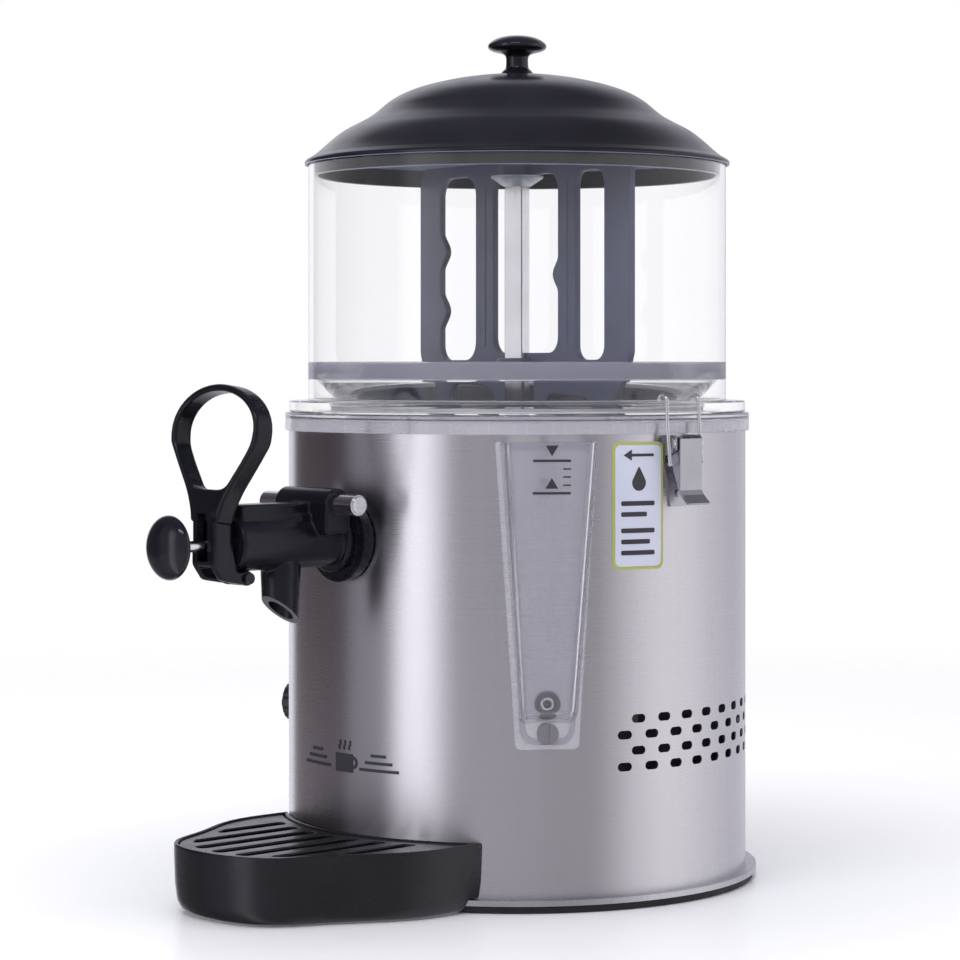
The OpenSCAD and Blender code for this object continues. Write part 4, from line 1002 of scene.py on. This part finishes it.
em = add(nt, "ShaderNodeMapRange", interpolation_type="SMOOTHSTEP")
em.inputs["From Min"].default_value = 0.15
em.inputs["From Max"].default_value = 0.55
em.inputs["To Min"].default_value = 0.06
em.inputs["To Max"].default_value = 0.24
nt.links.new(ln.outputs["Value"], em.inputs["Value"])
nt.links.new(em.outputs[0], pb.inputs["Emission Strength"])
tr = add(nt, "ShaderNodeBsdfTransparent")
mx = add(nt, "ShaderNodeMixShader")
lp = add(nt, "ShaderNodeLightPath")
gl = math_node(nt, "MULTIPLY", lp.outputs["Is Glossy Ray"], 0.85)
nt.links.new(math_node(nt, "MAXIMUM", mr.outputs[0], gl), mx.inputs[0])
nt.links.new(pb.outputs[0], mx.inputs[1])
nt.links.new(tr.outputs[0], mx.inputs[2])
nt.links.new(mx.outputs[0], out.inputs["Surface"])
fm = loft("floor", [[(r * math.cos(TAU * i / 96), r * math.sin(TAU * i / 96), -0.0002) for i in range(96)] for r in (1.55, 0.2)], False, True)
floor = raw("floor", fm)
fm.materials.append(fl)

world = bpy.data.worlds.new("sky")
scene.world = world
world.use_nodes = True
nt = world.node_tree
bg = nt.nodes["Background"]
tc = add(nt, "ShaderNodeTexCoord")
sp = add(nt, "ShaderNodeSeparateXYZ")
nt.links.new(tc.outputs["Generated"], sp.inputs[0])
az = math_node(nt, "ARCTAN2", sp.outputs[1], sp.outputs[0])
t = math_node(nt, "DIVIDE", math_node(nt, "ADD", az, math.pi), TAU)
SKY = [(-180, (0.1, 0.085, 0.095)), (-158, (0.07, 0.057, 0.065)), (-141, (0.05, 0.04, 0.047)), (-133, (0.26, 0.245, 0.28)),
       (-112, (0.31, 0.29, 0.335)), (-102, (1.6, 1.58, 1.7)), (-92, (1.58, 1.56, 1.68)), (-84, (1.05, 1.03, 1.13)), (-76, (0.41, 0.395, 0.435)),
       (-4, (0.36, 0.35, 0.385)), (16, (0.82, 0.8, 0.85)), (32, (1.02, 1.0, 1.05)), (50, (0.96, 0.95, 0.99)), (66, (0.8, 0.79, 0.85)),
       (92, (0.62, 0.61, 0.68)), (136, (0.66, 0.65, 0.74)), (150, (0.9, 0.9, 1.0)), (163, (0.95, 0.95, 1.02)), (169, (0.11, 0.095, 0.105)),
       (180, (0.1, 0.085, 0.095))]
side = ramp(nt, t, [((a + 180) / 360, c) for a, c in SKY])
up = add(nt, "ShaderNodeMapRange", interpolation_type="SMOOTHSTEP")
up.inputs["From Min"].default_value = 0.45
up.inputs["From Max"].default_value = 0.8
nt.links.new(sp.outputs[2], up.inputs["Value"])
sky = mixc(nt, up.outputs[0], side, (0.13, 0.13, 0.16))
lp = add(nt, "ShaderNodeLightPath")
see = math_node(nt, "MAXIMUM", lp.outputs["Is Camera Ray"], lp.outputs["Is Transmission Ray"])
nt.links.new(mixc(nt, see, sky, (1.0, 1.0, 1.0)), bg.inputs["Color"])
bg.inputs["Strength"].default_value = 1.0


def lamp(name, loc, aim, size, power, color=(1, 1, 1), glossy=True, size_y=None):
    li = bpy.data.lights.new(name, "AREA")
    li.energy = power
    li.color = color
    li.shape = "RECTANGLE"
    li.size = size
    li.size_y = size_y or size
    ob = bpy.data.objects.new(name, li)
    ob.location = loc
    ob.rotation_euler = (Vector(aim) - Vector(loc)).to_track_quat("-Z", "Y").to_euler()
    ob.visible_glossy = glossy
    ob.visible_transmission = False
    scene.collection.objects.link(ob)
    return ob


lamp("overhead", (0.0, 0.0, 1.9), (0, 0, 0), 1.8, 26, (1, 1, 1), glossy=False)
lamp("strip", (0.75, -0.95, 1.55), (0, -0.1, 0.3), 0.9, 5.0, (0.86, 0.9, 1.0), True, 0.2)
lamp("front_fill", (0.2, -1.7, 1.1), (0, -0.1, 0.15), 0.9, 9, (0.97, 0.98, 1), glossy=False)

cam = bpy.data.cameras.new("cam")
cam.lens = 112.95
cam.sensor_width = 36
cam.shift_x = -0.0386
cam.shift_y = -0.1176
cam.clip_start = 0.01
cam.clip_end = 50
cam_ob = bpy.data.objects.new("cam", cam)
cam_ob.location = (1.2371, -1.1947, 0.2879)
cam_ob.rotation_euler = (math.radians(90), 0, math.radians(46))
scene.collection.objects.link(cam_ob)
scene.camera = cam_ob
scene.view_settings.view_transform = "Standard"
scene.cycles.max_bounces = 14
scene.cycles.transmission_bounces = 12
scene.cycles.transparent_max_bounces = 16
scene.cycles.glossy_bounces = 5
scene.cycles.sample_clamp_indirect = 6
